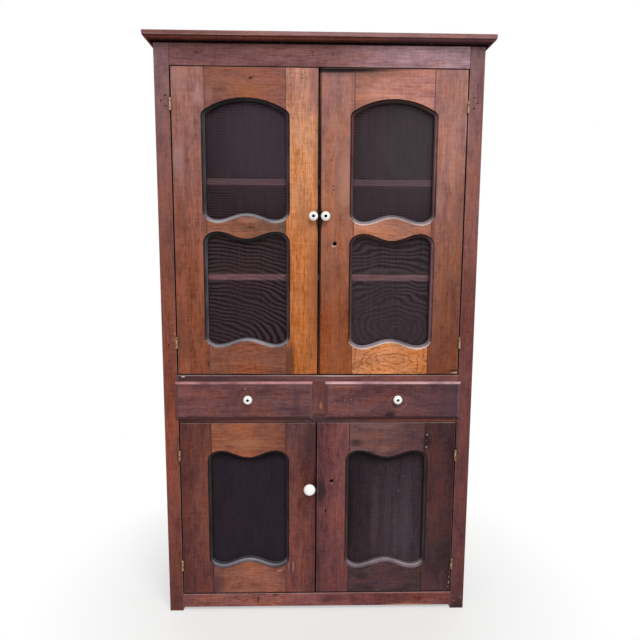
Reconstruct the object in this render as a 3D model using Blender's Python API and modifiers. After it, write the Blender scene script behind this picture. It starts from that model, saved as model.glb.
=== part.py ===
"""Pie safe: a tall cupboard with two screened doors over two lipped drawers over two panelled doors.

Metres, +Z up, the front faces -Y. The origin is on the floor, in the middle of the outer box.
"""
import math

import bmesh
import bpy

# Case and face frame
CASE_WIDTH = 1.110
CASE_DEPTH = 0.420
SIDE_THICK = 0.020
BACK_THICK = 0.012
BACK_PLANKS = 5
PLANK_GROOVE = 0.003
FRAME_THICK = 0.022
STILE_WIDTH = 0.050
FOOT_HEIGHT = 0.0145
BOTTOM_RAIL_HEIGHT = 0.0525
BOTTOM_BOARD_THICK = 0.020
FRIEZE_HEIGHT = 0.0875
DRAWER_FLOOR_THICK = 0.020
UPPER_FLOOR_THICK = 0.030
SHELF_THICK = 0.022
SHELF_SETBACK = 0.003
LOW_BAY = 0.338
MIDDLE_BAY = 0.308
DIVIDER_WIDTH = 0.060
GUIDE_HEIGHT = 0.025
TENON_THICK = 0.007
TENON_LENGTH = 0.030
TENON_SHOULDER = 0.004
TENON_FROM_FACE = 0.005

# Cornice
CORNICE_OVERHANG = 0.030
TOP_BOARD_THICK = 0.015
MOULDING_DROP = 0.017
MOULDING_STEP = 0.003
MOULDING_FOOT = 0.005
MOULDING_BELLY = 0.0075

# Doors
DOOR_THICK = 0.024
UPPER_DOOR_HEIGHT = 1.0495
LOWER_DOOR_HEIGHT = 0.6625
DOOR_GAP = 0.003
MEETING_GAP = 0.005
UPPER_MEETING = -0.003
LOWER_MEETING = -0.007
DOOR_STILE_WIDTH = 0.111
RIGHT_MEETING_WIDTH = 0.118
REBATE_WIDTH = 0.005
REBATE_DEPTH = 0.006
ARRIS = 0.0012

# Openings cut in the doors: the narrowest width of each rail, and the curves between them
UPPER_TOP_RAIL = 0.097
MIDDLE_RAIL = 0.028
UPPER_BOTTOM_RAIL = 0.0965
LOWER_TOP_RAIL = 0.104
LOWER_BOTTOM_RAIL = 0.100
HIGH_OPENING_HEIGHT = 0.418
RIGHT_SILL_DROP = 0.0055
ARCH_RADIUS = 0.260
ARCH_CORNER = 0.024
LOBE_FROM_SIDE = 0.050
LOBE_CORNER = 0.038
HANGING_BOW = 0.025
STANDING_BOW = 0.0235
LOWER_STANDING_BOW = 0.0255
QUIRK = 0.0025
OVOLO_WIDTH = 0.013
OVOLO_DEPTH = 0.011
OVOLO_BELLY = 0.006
OVOLO_BELLY_DEPTH = 0.005
OVOLO_LAND = 0.001
RAIL_SPARE = 0.004

# Screens and panels let into the backs of the doors
SCREEN_THICK = 0.001
MESH_ACROSS = 8
MESH_UP = 24
MESH_BAR = 0.006
PANEL_THICK = 0.007
PANEL_LET_IN = 0.002
INFILL_LAP = 0.010

# Old latch holes in the right doors, and the keyhole of the lower one
HOLE_DIAMETER = 0.014
HOLE_FROM_EDGE = 0.054
UPPER_HOLE_HEIGHT = 0.466
LOWER_HOLE_HEIGHT = 0.441
KEYHOLE_EYE = 0.007
KEYHOLE_SLOT = 0.004
KEYHOLE_HEIGHT = 0.012
KEYHOLE_DEPTH = 0.012
KEYHOLE_FROM_EDGE = 0.032
KEYHOLE_RISE = 0.331

# Butt hinges
LEAF_THICK = 0.0015
LEAF_DEPTH = 0.018
LEAF_SPACE = 0.0009
HINGE_LENGTH = 0.041
HINGE_FROM_TOP = 0.122
HINGE_FROM_BOTTOM = 0.116
BARREL_DIAMETER = 0.0088
PIN_DIAMETER = 0.0036
RUNNING_CLEARANCE = 0.0003

# Drawers
DRAWER_OPENING = 0.1235
DRAWER_LIP = 0.0075
LIP_PROUD = 0.011
LIP_EDGE = 0.005
LIP_BEVEL = 0.011
FRONT_BODY = 0.013
DRAWER_DEPTH = 0.360
DRAWER_CLEARANCE = 0.002
HEAD_CLEARANCE = 0.004
DRAWER_WALL = 0.012
DRAWER_BOTTOM = 0.008

# Porcelain knobs
KNOB_DIAMETER = 0.032
KNOB_LENGTH = 0.026
BIG_KNOB_DIAMETER = 0.043
BIG_KNOB_LENGTH = 0.034
KNOB_FROM_EDGE = 0.016
UPPER_KNOB_HEIGHT = 0.560
LOWER_KNOB_HEIGHT = 0.416
BIG_KNOB_FROM_EDGE = 0.0225
DRAWER_KNOB_SHIFT = 0.015
DRAWER_KNOB_RISE = 0.008
KNOB_HEAD_SHARE = 0.68
KNOB_NECK_SHARE = 0.44
KNOB_FOOT_SHARE = 0.60
KNOB_FOOT_THICK = 0.003
KNOB_HEAD_SWEEP = math.radians(140)

# Gap kept between pieces that touch, and how far a cutter passes through what it cuts
SEAM = 0.0003
THROUGH = 0.004

# Facets of the curved shapes
BOW_STEPS = 12
CORNER_STEPS = 5
ARCH_STEPS = 12
KNOB_STEPS = 8
KNOB_SIDES = 20
BARREL_SIDES = 16
HOLE_SIDES = 16
SMOOTH_BELOW = math.radians(35)
MERGE_BELOW = 0.00001
MARKER_SIZE = 0.05

# Places worked out from the sizes above
HALF_WIDTH = CASE_WIDTH / 2
HALF_INSIDE = HALF_WIDTH - SIDE_THICK
FRAME_EDGE = HALF_WIDTH - STILE_WIDTH
HINGE_GAP = 2 * LEAF_THICK + LEAF_SPACE + 2 * SEAM
DOOR_EDGE = FRAME_EDGE - HINGE_GAP
OVOLO_IN_STILE = OVOLO_WIDTH + OVOLO_LAND

FRONT_REACH = max(CORNICE_OVERHANG, LIP_PROUD + SEAM + KNOB_LENGTH, SEAM + BIG_KNOB_LENGTH)
FACE = (FRONT_REACH - CASE_DEPTH) / 2
REAR = FACE + CASE_DEPTH
FRAME_BACK = FACE + FRAME_THICK + SEAM
BACK_FRONT = REAR - BACK_THICK
INSIDE_REAR = BACK_FRONT - SEAM
DOOR_BACK = FACE + DOOR_THICK
SHELF_FRONT = max(FRAME_BACK, DOOR_BACK + SHELF_SETBACK)

BOTTOM_TOP = FOOT_HEIGHT + BOTTOM_RAIL_HEIGHT
LOWER_DOOR_LOW = BOTTOM_TOP + DOOR_GAP
LOWER_DOOR_HIGH = LOWER_DOOR_LOW + LOWER_DOOR_HEIGHT
DRAWER_FLOOR_LOW = LOWER_DOOR_HIGH + DOOR_GAP
DRAWER_LOW = DRAWER_FLOOR_LOW + DRAWER_FLOOR_THICK
DRAWER_HIGH = DRAWER_LOW + DRAWER_OPENING
UPPER_FLOOR_TOP = DRAWER_HIGH + UPPER_FLOOR_THICK
UPPER_DOOR_LOW = UPPER_FLOOR_TOP + DOOR_GAP
UPPER_DOOR_HIGH = UPPER_DOOR_LOW + UPPER_DOOR_HEIGHT
FRIEZE_LOW = UPPER_DOOR_HIGH + DOOR_GAP
CASE_TOP = FRIEZE_LOW + FRIEZE_HEIGHT
LOW_SHELF_LOW = UPPER_FLOOR_TOP + LOW_BAY
HIGH_SHELF_LOW = LOW_SHELF_LOW + SHELF_THICK + MIDDLE_BAY

PARTS = "pie_safe"
CUTTERS = "pie_safe_cutters"


def clear_scene():
    for item in list(bpy.data.objects):
        bpy.data.objects.remove(item)


def new_collection(name):
    group = bpy.data.collections.get(name) or bpy.data.collections.new(name)
    if group.name not in bpy.context.scene.collection.children:
        bpy.context.scene.collection.children.link(group)
    return group


def finish(name, colour, roughness, metallic=0.0):
    """A plain material: the colour of the part, how shiny it is and whether it is metal."""
    material = bpy.data.materials.new(name)
    material.use_nodes = True
    shader = material.node_tree.nodes["Principled BSDF"]
    shader.inputs["Base Color"].default_value = (*colour, 1.0)
    shader.inputs["Roughness"].default_value = roughness
    shader.inputs["Metallic"].default_value = metallic
    return material


def link(name, mesh, place, material=None):
    """Adds a part, or a cutter where no material is given."""
    item = bpy.data.objects.new(name, mesh)
    item.location = place
    if material:
        mesh.materials.append(material)
        bpy.data.collections[PARTS].objects.link(item)
    else:
        item.hide_render = True
        item.display_type = "WIRE"
        bpy.data.collections[CUTTERS].objects.link(item)
    return item


def box(name, across, deep, high, material=None, arris=0.0):
    """A board between two values along each axis, with its edges eased by arris."""
    spans = [sorted(pair) for pair in (across, deep, high)]
    mesh = bpy.data.meshes.new(name)
    shape = bmesh.new()
    bmesh.ops.create_cube(shape, size=1.0)
    bmesh.ops.scale(shape, vec=[last - first for first, last in spans], verts=shape.verts)
    shape.to_mesh(mesh)
    shape.free()
    item = link(name, mesh, [(first + last) / 2 for first, last in spans], material)
    return ease(item, arris) if arris else item


def cylinder(name, centre, radius, length, sides, axis="Z", material=None):
    """A round bar along Z, or along Y where the axis says so."""
    mesh = bpy.data.meshes.new(name)
    shape = bmesh.new()
    bmesh.ops.create_cone(shape, cap_ends=True, segments=sides, radius1=radius, radius2=radius, depth=length)
    shape.to_mesh(mesh)
    shape.free()
    item = link(name, mesh, centre, material)
    if axis == "Y":
        item.rotation_euler = (math.pi / 2, 0.0, 0.0)
    return item


def ease(item, arris):
    """Takes the sharp arris off the edges of a board."""
    easing = item.modifiers.new("eased edges", "BEVEL")
    easing.width = arris
    easing.segments = 1
    return item


def slab(name, outline, low, high, material=None):
    """A flat outline of (x, y) points, drawn up from low to high."""
    mesh = bpy.data.meshes.new(name)
    shape = bmesh.new()
    face = shape.faces.new([shape.verts.new((x, y, 0.0)) for x, y in outline])
    raised = bmesh.ops.extrude_face_region(shape, geom=[face])["geom"]
    tops = [vert for vert in raised if isinstance(vert, bmesh.types.BMVert)]
    bmesh.ops.translate(shape, vec=(0.0, 0.0, high - low), verts=tops)
    bmesh.ops.recalc_face_normals(shape, faces=shape.faces)
    shape.to_mesh(mesh)
    shape.free()
    return link(name, mesh, (0.0, 0.0, low), material)


def loft(name, rings, material=None):
    """A closed solid through rings of points, each ring with as many points as the first."""
    mesh = bpy.data.meshes.new(name)
    shape = bmesh.new()
    loops = [[shape.verts.new(point) for point in ring] for ring in rings]
    for first, second in zip(loops, loops[1:]):
        for index in range(len(first)):
            after = (index + 1) % len(first)
            shape.faces.new((first[index], first[after], second[after], second[index]))
    shape.faces.new(loops[0])
    shape.faces.new(loops[-1])
    bmesh.ops.recalc_face_normals(shape, faces=shape.faces)
    shape.to_mesh(mesh)
    shape.free()
    return link(name, mesh, (0.0, 0.0, 0.0), material)


def combine(item, operation, tools):
    for tool in tools:
        step = item.modifiers.new(operation.lower(), "BOOLEAN")
        step.operation = operation
        step.object = tool
    return item


def smooth(item):
    item.data.shade_smooth()
    item.data.set_sharp_from_angle(angle=SMOOTH_BELOW)
    return item


def carrier(name, place):
    """An empty on the axis of a joint, which carries the pieces that move together."""
    empty = bpy.data.objects.new(name, None)
    empty.empty_display_size = MARKER_SIZE
    empty.location = place
    bpy.data.collections[PARTS].objects.link(empty)
    return empty


def carry(empty, items):
    for item in items:
        item.parent = empty
        item.location -= empty.location


def bow_edge(half, rise):
    """A cupid's bow from the right side to the left: (x, height above the two lobes)."""
    lobe = half - LOBE_FROM_SIDE
    corner = []
    for step in range(CORNER_STEPS):
        angle = step / CORNER_STEPS * math.pi / 2
        across = lobe + LOBE_FROM_SIDE * math.cos(angle)
        corner.append((across, LOBE_CORNER * (1 - math.sin(angle))))
    crest = []
    for step in range(BOW_STEPS + 1):
        across = lobe - 2 * lobe * step / BOW_STEPS
        crest.append((across, rise * (1 + math.cos(math.pi * across / lobe)) / 2))
    return corner + crest + [(-x, height) for x, height in reversed(corner)]


def arch_drop(half):
    """How far below its crown the arch of an opening meets the straight sides."""
    return ARCH_RADIUS - math.sqrt((ARCH_RADIUS - ARCH_CORNER) ** 2 - (half - ARCH_CORNER) ** 2)


def arch_edge(half):
    """An arch with rounded shoulders from the right side to the left: (x, depth below the crown)."""
    drop = arch_drop(half)
    shoulder = math.atan2(ARCH_RADIUS - drop, half - ARCH_CORNER)
    corner = []
    for step in range(CORNER_STEPS):
        angle = shoulder * step / CORNER_STEPS
        across = half - ARCH_CORNER + ARCH_CORNER * math.cos(angle)
        corner.append((across, drop - ARCH_CORNER * math.sin(angle)))
    crown = []
    for step in range(ARCH_STEPS + 1):
        angle = shoulder + (math.pi - 2 * shoulder) * step / ARCH_STEPS
        crown.append((ARCH_RADIUS * math.cos(angle), ARCH_RADIUS * (1 - math.sin(angle))))
    return corner + crown + [(-x, depth) for x, depth in reversed(corner)]


def drawn_in(outline, amount):
    """The outline moved inwards by amount, square to each of its edges."""
    moved = []
    for index, point in enumerate(outline):
        normals = []
        for first, second in ((outline[index - 1], point), (point, outline[(index + 1) % len(outline)])):
            along, up = second[0] - first[0], second[1] - first[1]
            length = math.hypot(along, up)
            normals.append((up / length, -along / length))
        (left_x, left_z), (right_x, right_z) = normals
        spread = 1 + left_x * right_x + left_z * right_z
        shift_x = amount * (left_x + right_x) / spread
        shift_z = amount * (left_z + right_z) / spread
        moved.append((point[0] + shift_x, point[1] + shift_z))
    return moved


def opening_cutter(name, centre, bottom, top):
    """The hole of one opening with its moulded edge: a step at the face, an ovolo, then straight through."""
    outline = bottom + top
    profile = [
        (FACE - THROUGH, 0.0),
        (FACE + QUIRK, 0.0),
        (FACE + OVOLO_BELLY_DEPTH, OVOLO_BELLY),
        (FACE + OVOLO_DEPTH, OVOLO_WIDTH),
        (DOOR_BACK + THROUGH, OVOLO_WIDTH),
    ]
    rings = []
    for depth, inset in profile:
        rings.append([(centre + x, depth, z) for x, z in drawn_in(outline, inset)])
    return loft(name, rings)


def knob(name, place, diameter, length, material):
    """A turned porcelain knob whose foot stands at place and whose crown faces the front."""
    radius = diameter / 2
    head = length * KNOB_HEAD_SHARE
    outline = []
    for step in range(KNOB_STEPS + 1):
        angle = math.pi / 2 - step / KNOB_STEPS * KNOB_HEAD_SWEEP
        outline.append((radius * math.cos(angle), length - head / 2 * (1 - math.sin(angle))))
    outline.append((radius * KNOB_NECK_SHARE, (outline[-1][1] + KNOB_FOOT_THICK) / 2))
    outline.append((radius * KNOB_FOOT_SHARE, KNOB_FOOT_THICK))
    outline.append((radius * KNOB_FOOT_SHARE, 0.0))
    outline.append((0.0, 0.0))
    outline[0] = (0.0, length)
    mesh = bpy.data.meshes.new(name)
    shape = bmesh.new()
    verts = [shape.verts.new((x, 0.0, z)) for x, z in outline]
    for first, second in zip(verts, verts[1:]):
        shape.edges.new((first, second))
    shape.to_mesh(mesh)
    shape.free()
    item = link(name, mesh, place, material)
    item.rotation_euler = (math.pi / 2, 0.0, 0.0)
    turning = item.modifiers.new("turned", "SCREW")
    turning.steps = KNOB_SIDES
    turning.render_steps = KNOB_SIDES
    turning.use_merge_vertices = True
    turning.merge_threshold = MERGE_BELOW
    turning.use_smooth_shade = True
    return item


def hinge(name, side, centre_z):
    """A butt hinge in the gap beside a door: the frame leaf holds the pin, the door leaf turns on it."""
    axis_x = side * (FRAME_EDGE - HINGE_GAP / 2)
    axis_y = FACE - SEAM - BARREL_DIAMETER / 2
    low = centre_z - HINGE_LENGTH / 2
    third = HINGE_LENGTH / 3
    high = low + HINGE_LENGTH
    plate_front = axis_y + BARREL_DIAMETER / 2 + RUNNING_CLEARANCE
    plate_deep = (plate_front, FACE + LEAF_DEPTH)
    tongue_deep = (axis_y, plate_front + LEAF_THICK)
    frame_across = (side * (FRAME_EDGE - SEAM), side * (FRAME_EDGE - SEAM - LEAF_THICK))
    door_across = (side * (DOOR_EDGE + SEAM), side * (DOOR_EDGE + SEAM + LEAF_THICK))

    def knuckle(label, across, bottom, top):
        barrel = cylinder(name + label + "_barrel", (axis_x, axis_y, (bottom + top) / 2),
                          BARREL_DIAMETER / 2, top - bottom, BARREL_SIDES)
        tongue = box(name + label + "_tongue", across, tongue_deep, (bottom, top))
        return [barrel, tongue]

    middle = (low + third + RUNNING_CLEARANCE, high - third - RUNNING_CLEARANCE)
    frame_leaf = box(name + "_frame_leaf", frame_across, plate_deep, (low, high), BRASS)
    pin = cylinder(name + "_pin", (axis_x, axis_y, centre_z), PIN_DIAMETER / 2, HINGE_LENGTH - LEAF_THICK,
                   BARREL_SIDES)
    combine(frame_leaf, "UNION", knuckle("_low", frame_across, low, low + third))
    combine(frame_leaf, "UNION", knuckle("_high", frame_across, high - third, high))
    combine(frame_leaf, "UNION", [pin])
    door_leaf = box(name + "_door_leaf", door_across, plate_deep, (low, high), BRASS)
    combine(door_leaf, "UNION", knuckle("_middle", door_across, *middle))
    bore = cylinder(name + "_bore", (axis_x, axis_y, centre_z), PIN_DIAMETER / 2 + RUNNING_CLEARANCE,
                    HINGE_LENGTH, BARREL_SIDES)
    combine(door_leaf, "DIFFERENCE", [bore])
    return smooth(frame_leaf), smooth(door_leaf)


def tenon_pair(name, low_x, high_x, low_z, high_z):
    """Tenons on both ends of a rail, and the mortises that take them."""
    tenons, mortises = [], []
    front = FACE + TENON_FROM_FACE
    for label, end, way in (("_left", low_x, -1), ("_right", high_x, 1)):
        tip = end + way * TENON_LENGTH
        tenons.append(box(name + label + "_tenon", (end - way * TENON_SHOULDER, tip),
                          (front, front + TENON_THICK), (low_z, high_z)))
        mortises.append(box(name + label + "_mortise", (end - way * THROUGH, tip + way * SEAM),
                            (front - SEAM, front + TENON_THICK + SEAM), (low_z - SEAM, high_z + SEAM)))
    return tenons, mortises


def mesh_cutter(name, across, deep, high):
    """The gaps of a sheet of wire cloth, as a plain grid that is far coarser than the cloth itself."""
    pitch_x = (across[1] - across[0] + MESH_BAR) / MESH_ACROSS
    pitch_z = (high[1] - high[0] + MESH_BAR) / MESH_UP
    gap = box(name, (across[0], across[0] + pitch_x - MESH_BAR), (deep[0] - THROUGH, deep[1] + THROUGH),
              (high[0], high[0] + pitch_z - MESH_BAR))
    for count, step in ((MESH_ACROSS, (pitch_x, 0.0, 0.0)), (MESH_UP, (0.0, 0.0, pitch_z))):
        row = gap.modifiers.new("row of gaps", "ARRAY")
        row.use_relative_offset = False
        row.use_constant_offset = True
        row.constant_offset_displace = step
        row.count = count
    return gap


def door(name, side, low, high, edges, rails, cutters, infill):
    """A framed door: two stiles, its rails between them, and the screen or panel in its back."""
    hinge_edge, meeting_edge = edges
    hinge_joint = hinge_edge - side * DOOR_STILE_WIDTH
    meeting_width = RIGHT_MEETING_WIDTH if side > 0 else DOOR_STILE_WIDTH
    meeting_joint = meeting_edge + side * meeting_width
    left, right = sorted((hinge_joint, meeting_joint))
    deep = (FACE, DOOR_BACK)
    pieces, mortises = [], []
    for label, board_low, board_high, tenon_low, tenon_high in rails:
        ends = (left + SEAM, right - SEAM)
        rail = box(f"{name}_{label}", ends, deep, (board_low, board_high), DOOR_WOOD, ARRIS)
        tenons, sockets = tenon_pair(rail.name, *ends, tenon_low, tenon_high)
        combine(rail, "UNION", tenons)
        pieces.append(combine(rail, "DIFFERENCE", cutters))
        mortises += sockets
    tall = (low, high)
    hinge_stile = box(name + "_hinge_stile", (hinge_edge, hinge_joint), deep, tall, DOOR_WOOD, ARRIS)
    meeting_stile = box(name + "_meeting_stile", (meeting_edge, meeting_joint), deep, tall, DOOR_WOOD, ARRIS)
    left_stile, right_stile = (hinge_stile, meeting_stile) if side < 0 else (meeting_stile, hinge_stile)
    combine(left_stile, "DIFFERENCE", mortises[0::2] + cutters)
    combine(right_stile, "DIFFERENCE", mortises[1::2] + cutters)
    label, thick, let_in, infill_low, infill_high, material = infill
    seat = DOOR_BACK - let_in
    across = (left - INFILL_LAP, right + INFILL_LAP)
    sheet = box(f"{name}_{label}", across, (seat, seat + thick),
                (infill_low - INFILL_LAP, infill_high + INFILL_LAP), material)
    pocket = box(f"{name}_pocket", (across[0] - SEAM, across[1] + SEAM),
                 (seat - SEAM, DOOR_BACK + THROUGH),
                 (infill_low - INFILL_LAP - SEAM, infill_high + INFILL_LAP + SEAM))
    for piece in pieces + [hinge_stile, meeting_stile]:
        combine(piece, "DIFFERENCE", [pocket])
    if material is WIRE:
        gaps = mesh_cutter(sheet.name + "_gaps", (left, right), (seat, seat + thick), (infill_low, infill_high))
        combine(sheet, "DIFFERENCE", [gaps])
    return pieces + [hinge_stile, meeting_stile, sheet], meeting_stile


def hang(name, side, low, high, pieces):
    """Puts a door and the door leaves of its two hinges on an empty that stands on the hinge axis."""
    moving = list(pieces)
    for label, height in (("top", high - HINGE_FROM_TOP), ("bottom", low + HINGE_FROM_BOTTOM)):
        leaves = hinge(f"{name}_{label}_hinge", side, height)
        moving.append(leaves[1])
    axis = (side * (FRAME_EDGE - HINGE_GAP / 2), FACE - SEAM - BARREL_DIAMETER / 2, low)
    carry(carrier(name + "_axis", axis), moving)


def latch_hole(name, edge, height):
    return cylinder(name, (edge + HOLE_FROM_EDGE, FACE + DOOR_THICK / 2, height), HOLE_DIAMETER / 2,
                    DOOR_THICK + 2 * THROUGH, HOLE_SIDES, "Y")


def keyhole(name, edge, height):
    """A blind keyhole: a round eye over a narrow slot."""
    deep = (FACE - THROUGH, FACE + KEYHOLE_DEPTH)
    across = edge + KEYHOLE_FROM_EDGE
    eye = cylinder(name + "_eye", (across, sum(deep) / 2, height - KEYHOLE_EYE / 2), KEYHOLE_EYE / 2,
                   deep[1] - deep[0], HOLE_SIDES, "Y")
    slot = box(name + "_slot", (across - KEYHOLE_SLOT / 2, across + KEYHOLE_SLOT / 2), deep,
               (height - KEYHOLE_HEIGHT, height - KEYHOLE_EYE / 2))
    return [eye, slot]


def door_edges(side, meeting):
    return side * DOOR_EDGE, meeting + side * MEETING_GAP / 2


def opening_place(side, edges):
    """Centre and half width of the openings of a door, from the joints of its stiles."""
    meeting_width = RIGHT_MEETING_WIDTH if side > 0 else DOOR_STILE_WIDTH
    joints = (edges[0] - side * DOOR_STILE_WIDTH, edges[1] + side * meeting_width)
    return sum(joints) / 2, abs(joints[1] - joints[0]) / 2 + OVOLO_IN_STILE


def sill_drop(side):
    """How much lower the sills of the right doors are sawn than those of the left ones."""
    return RIGHT_SILL_DROP if side > 0 else 0.0


def upper_door(name, side):
    low, high = UPPER_DOOR_LOW, UPPER_DOOR_HIGH
    edges = door_edges(side, UPPER_MEETING)
    centre, half = opening_place(side, edges)
    crown = high - UPPER_TOP_RAIL
    drop = sill_drop(side)
    high_foot = crown - HIGH_OPENING_HEIGHT - drop
    low_head = high_foot - MIDDLE_RAIL
    low_foot = low + UPPER_BOTTOM_RAIL - drop
    standing = max(LOBE_CORNER, STANDING_BOW + OVOLO_WIDTH) + RAIL_SPARE
    hanging = max(LOBE_CORNER, HANGING_BOW + OVOLO_WIDTH) + RAIL_SPARE
    foot_curve = bow_edge(half, STANDING_BOW)
    arch = [(x, crown - depth) for x, depth in reversed(arch_edge(half))]
    head = [(x, low_head - height) for x, height in reversed(bow_edge(half, HANGING_BOW))]
    cutters = [
        opening_cutter(name + "_high_opening", centre, [(x, high_foot + up) for x, up in foot_curve], arch),
        opening_cutter(name + "_low_opening", centre, [(x, low_foot + up) for x, up in foot_curve], head),
    ]
    rails = [
        ("top_rail", crown - arch_drop(half), high, crown + TENON_SHOULDER, high - TENON_SHOULDER),
        ("middle_rail", low_head - hanging, high_foot + standing,
         low_head + TENON_SHOULDER, high_foot - TENON_SHOULDER),
        ("bottom_rail", low, low_foot + standing, low + TENON_SHOULDER, low_foot - TENON_SHOULDER),
    ]
    infill = ("screen", SCREEN_THICK, SCREEN_THICK + SEAM, low_foot, crown, WIRE)
    pieces, meeting_stile = door(name, side, low, high, edges, rails, cutters, infill)
    knob_edge = edges[1]
    if side > 0:
        rebate = box(name + "_rebate", (edges[1] - THROUGH, edges[1] + REBATE_WIDTH),
                     (FACE - THROUGH, FACE + REBATE_DEPTH), (low - THROUGH, high + THROUGH))
        combine(meeting_stile, "DIFFERENCE",
                [rebate, latch_hole(name + "_hole", edges[1], low + UPPER_HOLE_HEIGHT)])
        knob_edge = edges[1] + REBATE_WIDTH
    place = (knob_edge + side * KNOB_FROM_EDGE, FACE - SEAM, low + UPPER_KNOB_HEIGHT)
    pieces.append(knob(name + "_knob", place, KNOB_DIAMETER, KNOB_LENGTH, PORCELAIN))
    hang(name, side, low, high, pieces)


def lower_door(name, side):
    low, high = LOWER_DOOR_LOW, LOWER_DOOR_HIGH
    edges = door_edges(side, LOWER_MEETING)
    centre, half = opening_place(side, edges)
    head_level = high - LOWER_TOP_RAIL
    foot_level = low + LOWER_BOTTOM_RAIL - sill_drop(side)
    standing = max(LOBE_CORNER, LOWER_STANDING_BOW + OVOLO_WIDTH) + RAIL_SPARE
    hanging = max(LOBE_CORNER, HANGING_BOW + OVOLO_WIDTH) + RAIL_SPARE
    foot = [(x, foot_level + up) for x, up in bow_edge(half, LOWER_STANDING_BOW)]
    head = [(x, head_level - height) for x, height in reversed(bow_edge(half, HANGING_BOW))]
    cutters = [opening_cutter(name + "_opening", centre, foot, head)]
    rails = [
        ("top_rail", head_level - hanging, high, head_level + TENON_SHOULDER, high - TENON_SHOULDER),
        ("bottom_rail", low, foot_level + standing, low + TENON_SHOULDER, foot_level - TENON_SHOULDER),
    ]
    infill = ("panel", PANEL_THICK, PANEL_LET_IN, foot_level, head_level, PANEL_WOOD)
    pieces, meeting_stile = door(name, side, low, high, edges, rails, cutters, infill)
    if side > 0:
        hole = latch_hole(name + "_hole", edges[1], low + LOWER_HOLE_HEIGHT)
        combine(meeting_stile, "DIFFERENCE", [hole])
        combine(meeting_stile, "DIFFERENCE", keyhole(name + "_keyhole", edges[1], low + KEYHOLE_RISE))
    else:
        place = (edges[1] + side * BIG_KNOB_FROM_EDGE, FACE - SEAM, low + LOWER_KNOB_HEIGHT)
        pieces.append(knob(name + "_knob", place, BIG_KNOB_DIAMETER, BIG_KNOB_LENGTH, PORCELAIN))
    hang(name, side, low, high, pieces)


def drawer(name, side):
    """A lipped drawer: bevelled front, open box behind it, and a knob."""
    inner = side * (DIVIDER_WIDTH / 2)
    outer = side * FRAME_EDGE
    body_across = (inner + side * DRAWER_CLEARANCE, outer - side * DRAWER_CLEARANCE)
    body_high = (DRAWER_LOW + SEAM, DRAWER_HIGH - HEAD_CLEARANCE)
    lip_left, lip_right = sorted((inner - side * DRAWER_LIP, outer + side * DRAWER_LIP))
    lip_low, lip_high = DRAWER_LOW - DRAWER_LIP, DRAWER_HIGH + DRAWER_LIP

    def ring(depth, inset):
        left, right = lip_left + inset, lip_right - inset
        low, high = lip_low + inset, lip_high - inset
        return [(left, depth, low), (right, depth, low), (right, depth, high), (left, depth, high)]

    lip_front = FACE - LIP_PROUD
    rings = [ring(lip_front, LIP_BEVEL), ring(FACE - LIP_EDGE, 0.0), ring(FACE - SEAM, 0.0)]
    front = loft(name + "_front", rings, DRAWER_WOOD)
    body = box(name + "_body", body_across, (FACE - LIP_EDGE / 2, FACE + FRONT_BODY), body_high)
    combine(front, "UNION", [body])
    tray_deep = (FACE + FRONT_BODY + SEAM, FACE + DRAWER_DEPTH)
    tray = box(name + "_box", body_across, tray_deep, body_high, CASE_WOOD)
    left, right = sorted(body_across)
    hollow = box(name + "_hollow", (left + DRAWER_WALL, right - DRAWER_WALL),
                 (FACE + FRONT_BODY - THROUGH, FACE + DRAWER_DEPTH - DRAWER_WALL),
                 (body_high[0] + DRAWER_BOTTOM, body_high[1] + THROUGH))
    combine(tray, "DIFFERENCE", [hollow])
    middle_x = (lip_left + lip_right) / 2 + DRAWER_KNOB_SHIFT
    middle_z = (lip_low + lip_high) / 2 + DRAWER_KNOB_RISE
    pull = knob(name + "_knob", (middle_x, lip_front - SEAM, middle_z), KNOB_DIAMETER, KNOB_LENGTH, PORCELAIN)
    axis = ((lip_left + lip_right) / 2, FACE, DRAWER_LOW)
    carry(carrier(name + "_slide", axis), [front, tray, pull])


def floor_board(name, low, high):
    """A full-depth floor whose front edge shows between the face stiles."""
    wide = HALF_INSIDE - SEAM
    narrow = FRAME_EDGE - SEAM
    outline = [(-wide, INSIDE_REAR), (wide, INSIDE_REAR), (wide, FRAME_BACK), (narrow, FRAME_BACK),
               (narrow, FACE), (-narrow, FACE), (-narrow, FRAME_BACK), (-wide, FRAME_BACK)]
    return ease(slab(name, outline, low, high, CASE_WOOD), ARRIS)


def face_frame_and_sides():
    frame_deep = (FACE, FACE + FRAME_THICK)
    frieze_high = CASE_TOP - SEAM
    frieze = box("frieze", (-FRAME_EDGE + SEAM, FRAME_EDGE - SEAM), frame_deep, (FRIEZE_LOW, frieze_high),
                 CASE_WOOD, ARRIS)
    tenons, mortises = tenon_pair("frieze", -FRAME_EDGE + SEAM, FRAME_EDGE - SEAM,
                                  FRIEZE_LOW + TENON_SHOULDER, frieze_high - TENON_SHOULDER)
    combine(frieze, "UNION", tenons)
    for name, side, mortise in (("left", -1, mortises[0]), ("right", 1, mortises[1])):
        stile = box(name + "_stile", (side * HALF_WIDTH, side * FRAME_EDGE), frame_deep,
                    (0.0, CASE_TOP - SEAM), CASE_WOOD, ARRIS)
        combine(stile, "DIFFERENCE", [mortise])
        board = box(name + "_side", (side * HALF_WIDTH, side * HALF_INSIDE), (FRAME_BACK, INSIDE_REAR),
                    (0.0, CASE_TOP - SEAM), CASE_WOOD)
        guide = box(name + "_guide", (side * (HALF_INSIDE + SIDE_THICK / 2), side * FRAME_EDGE),
                    (FRAME_BACK + SEAM, INSIDE_REAR - SEAM), (DRAWER_LOW + SEAM, DRAWER_LOW + GUIDE_HEIGHT))
        combine(board, "UNION", [guide])


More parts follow.
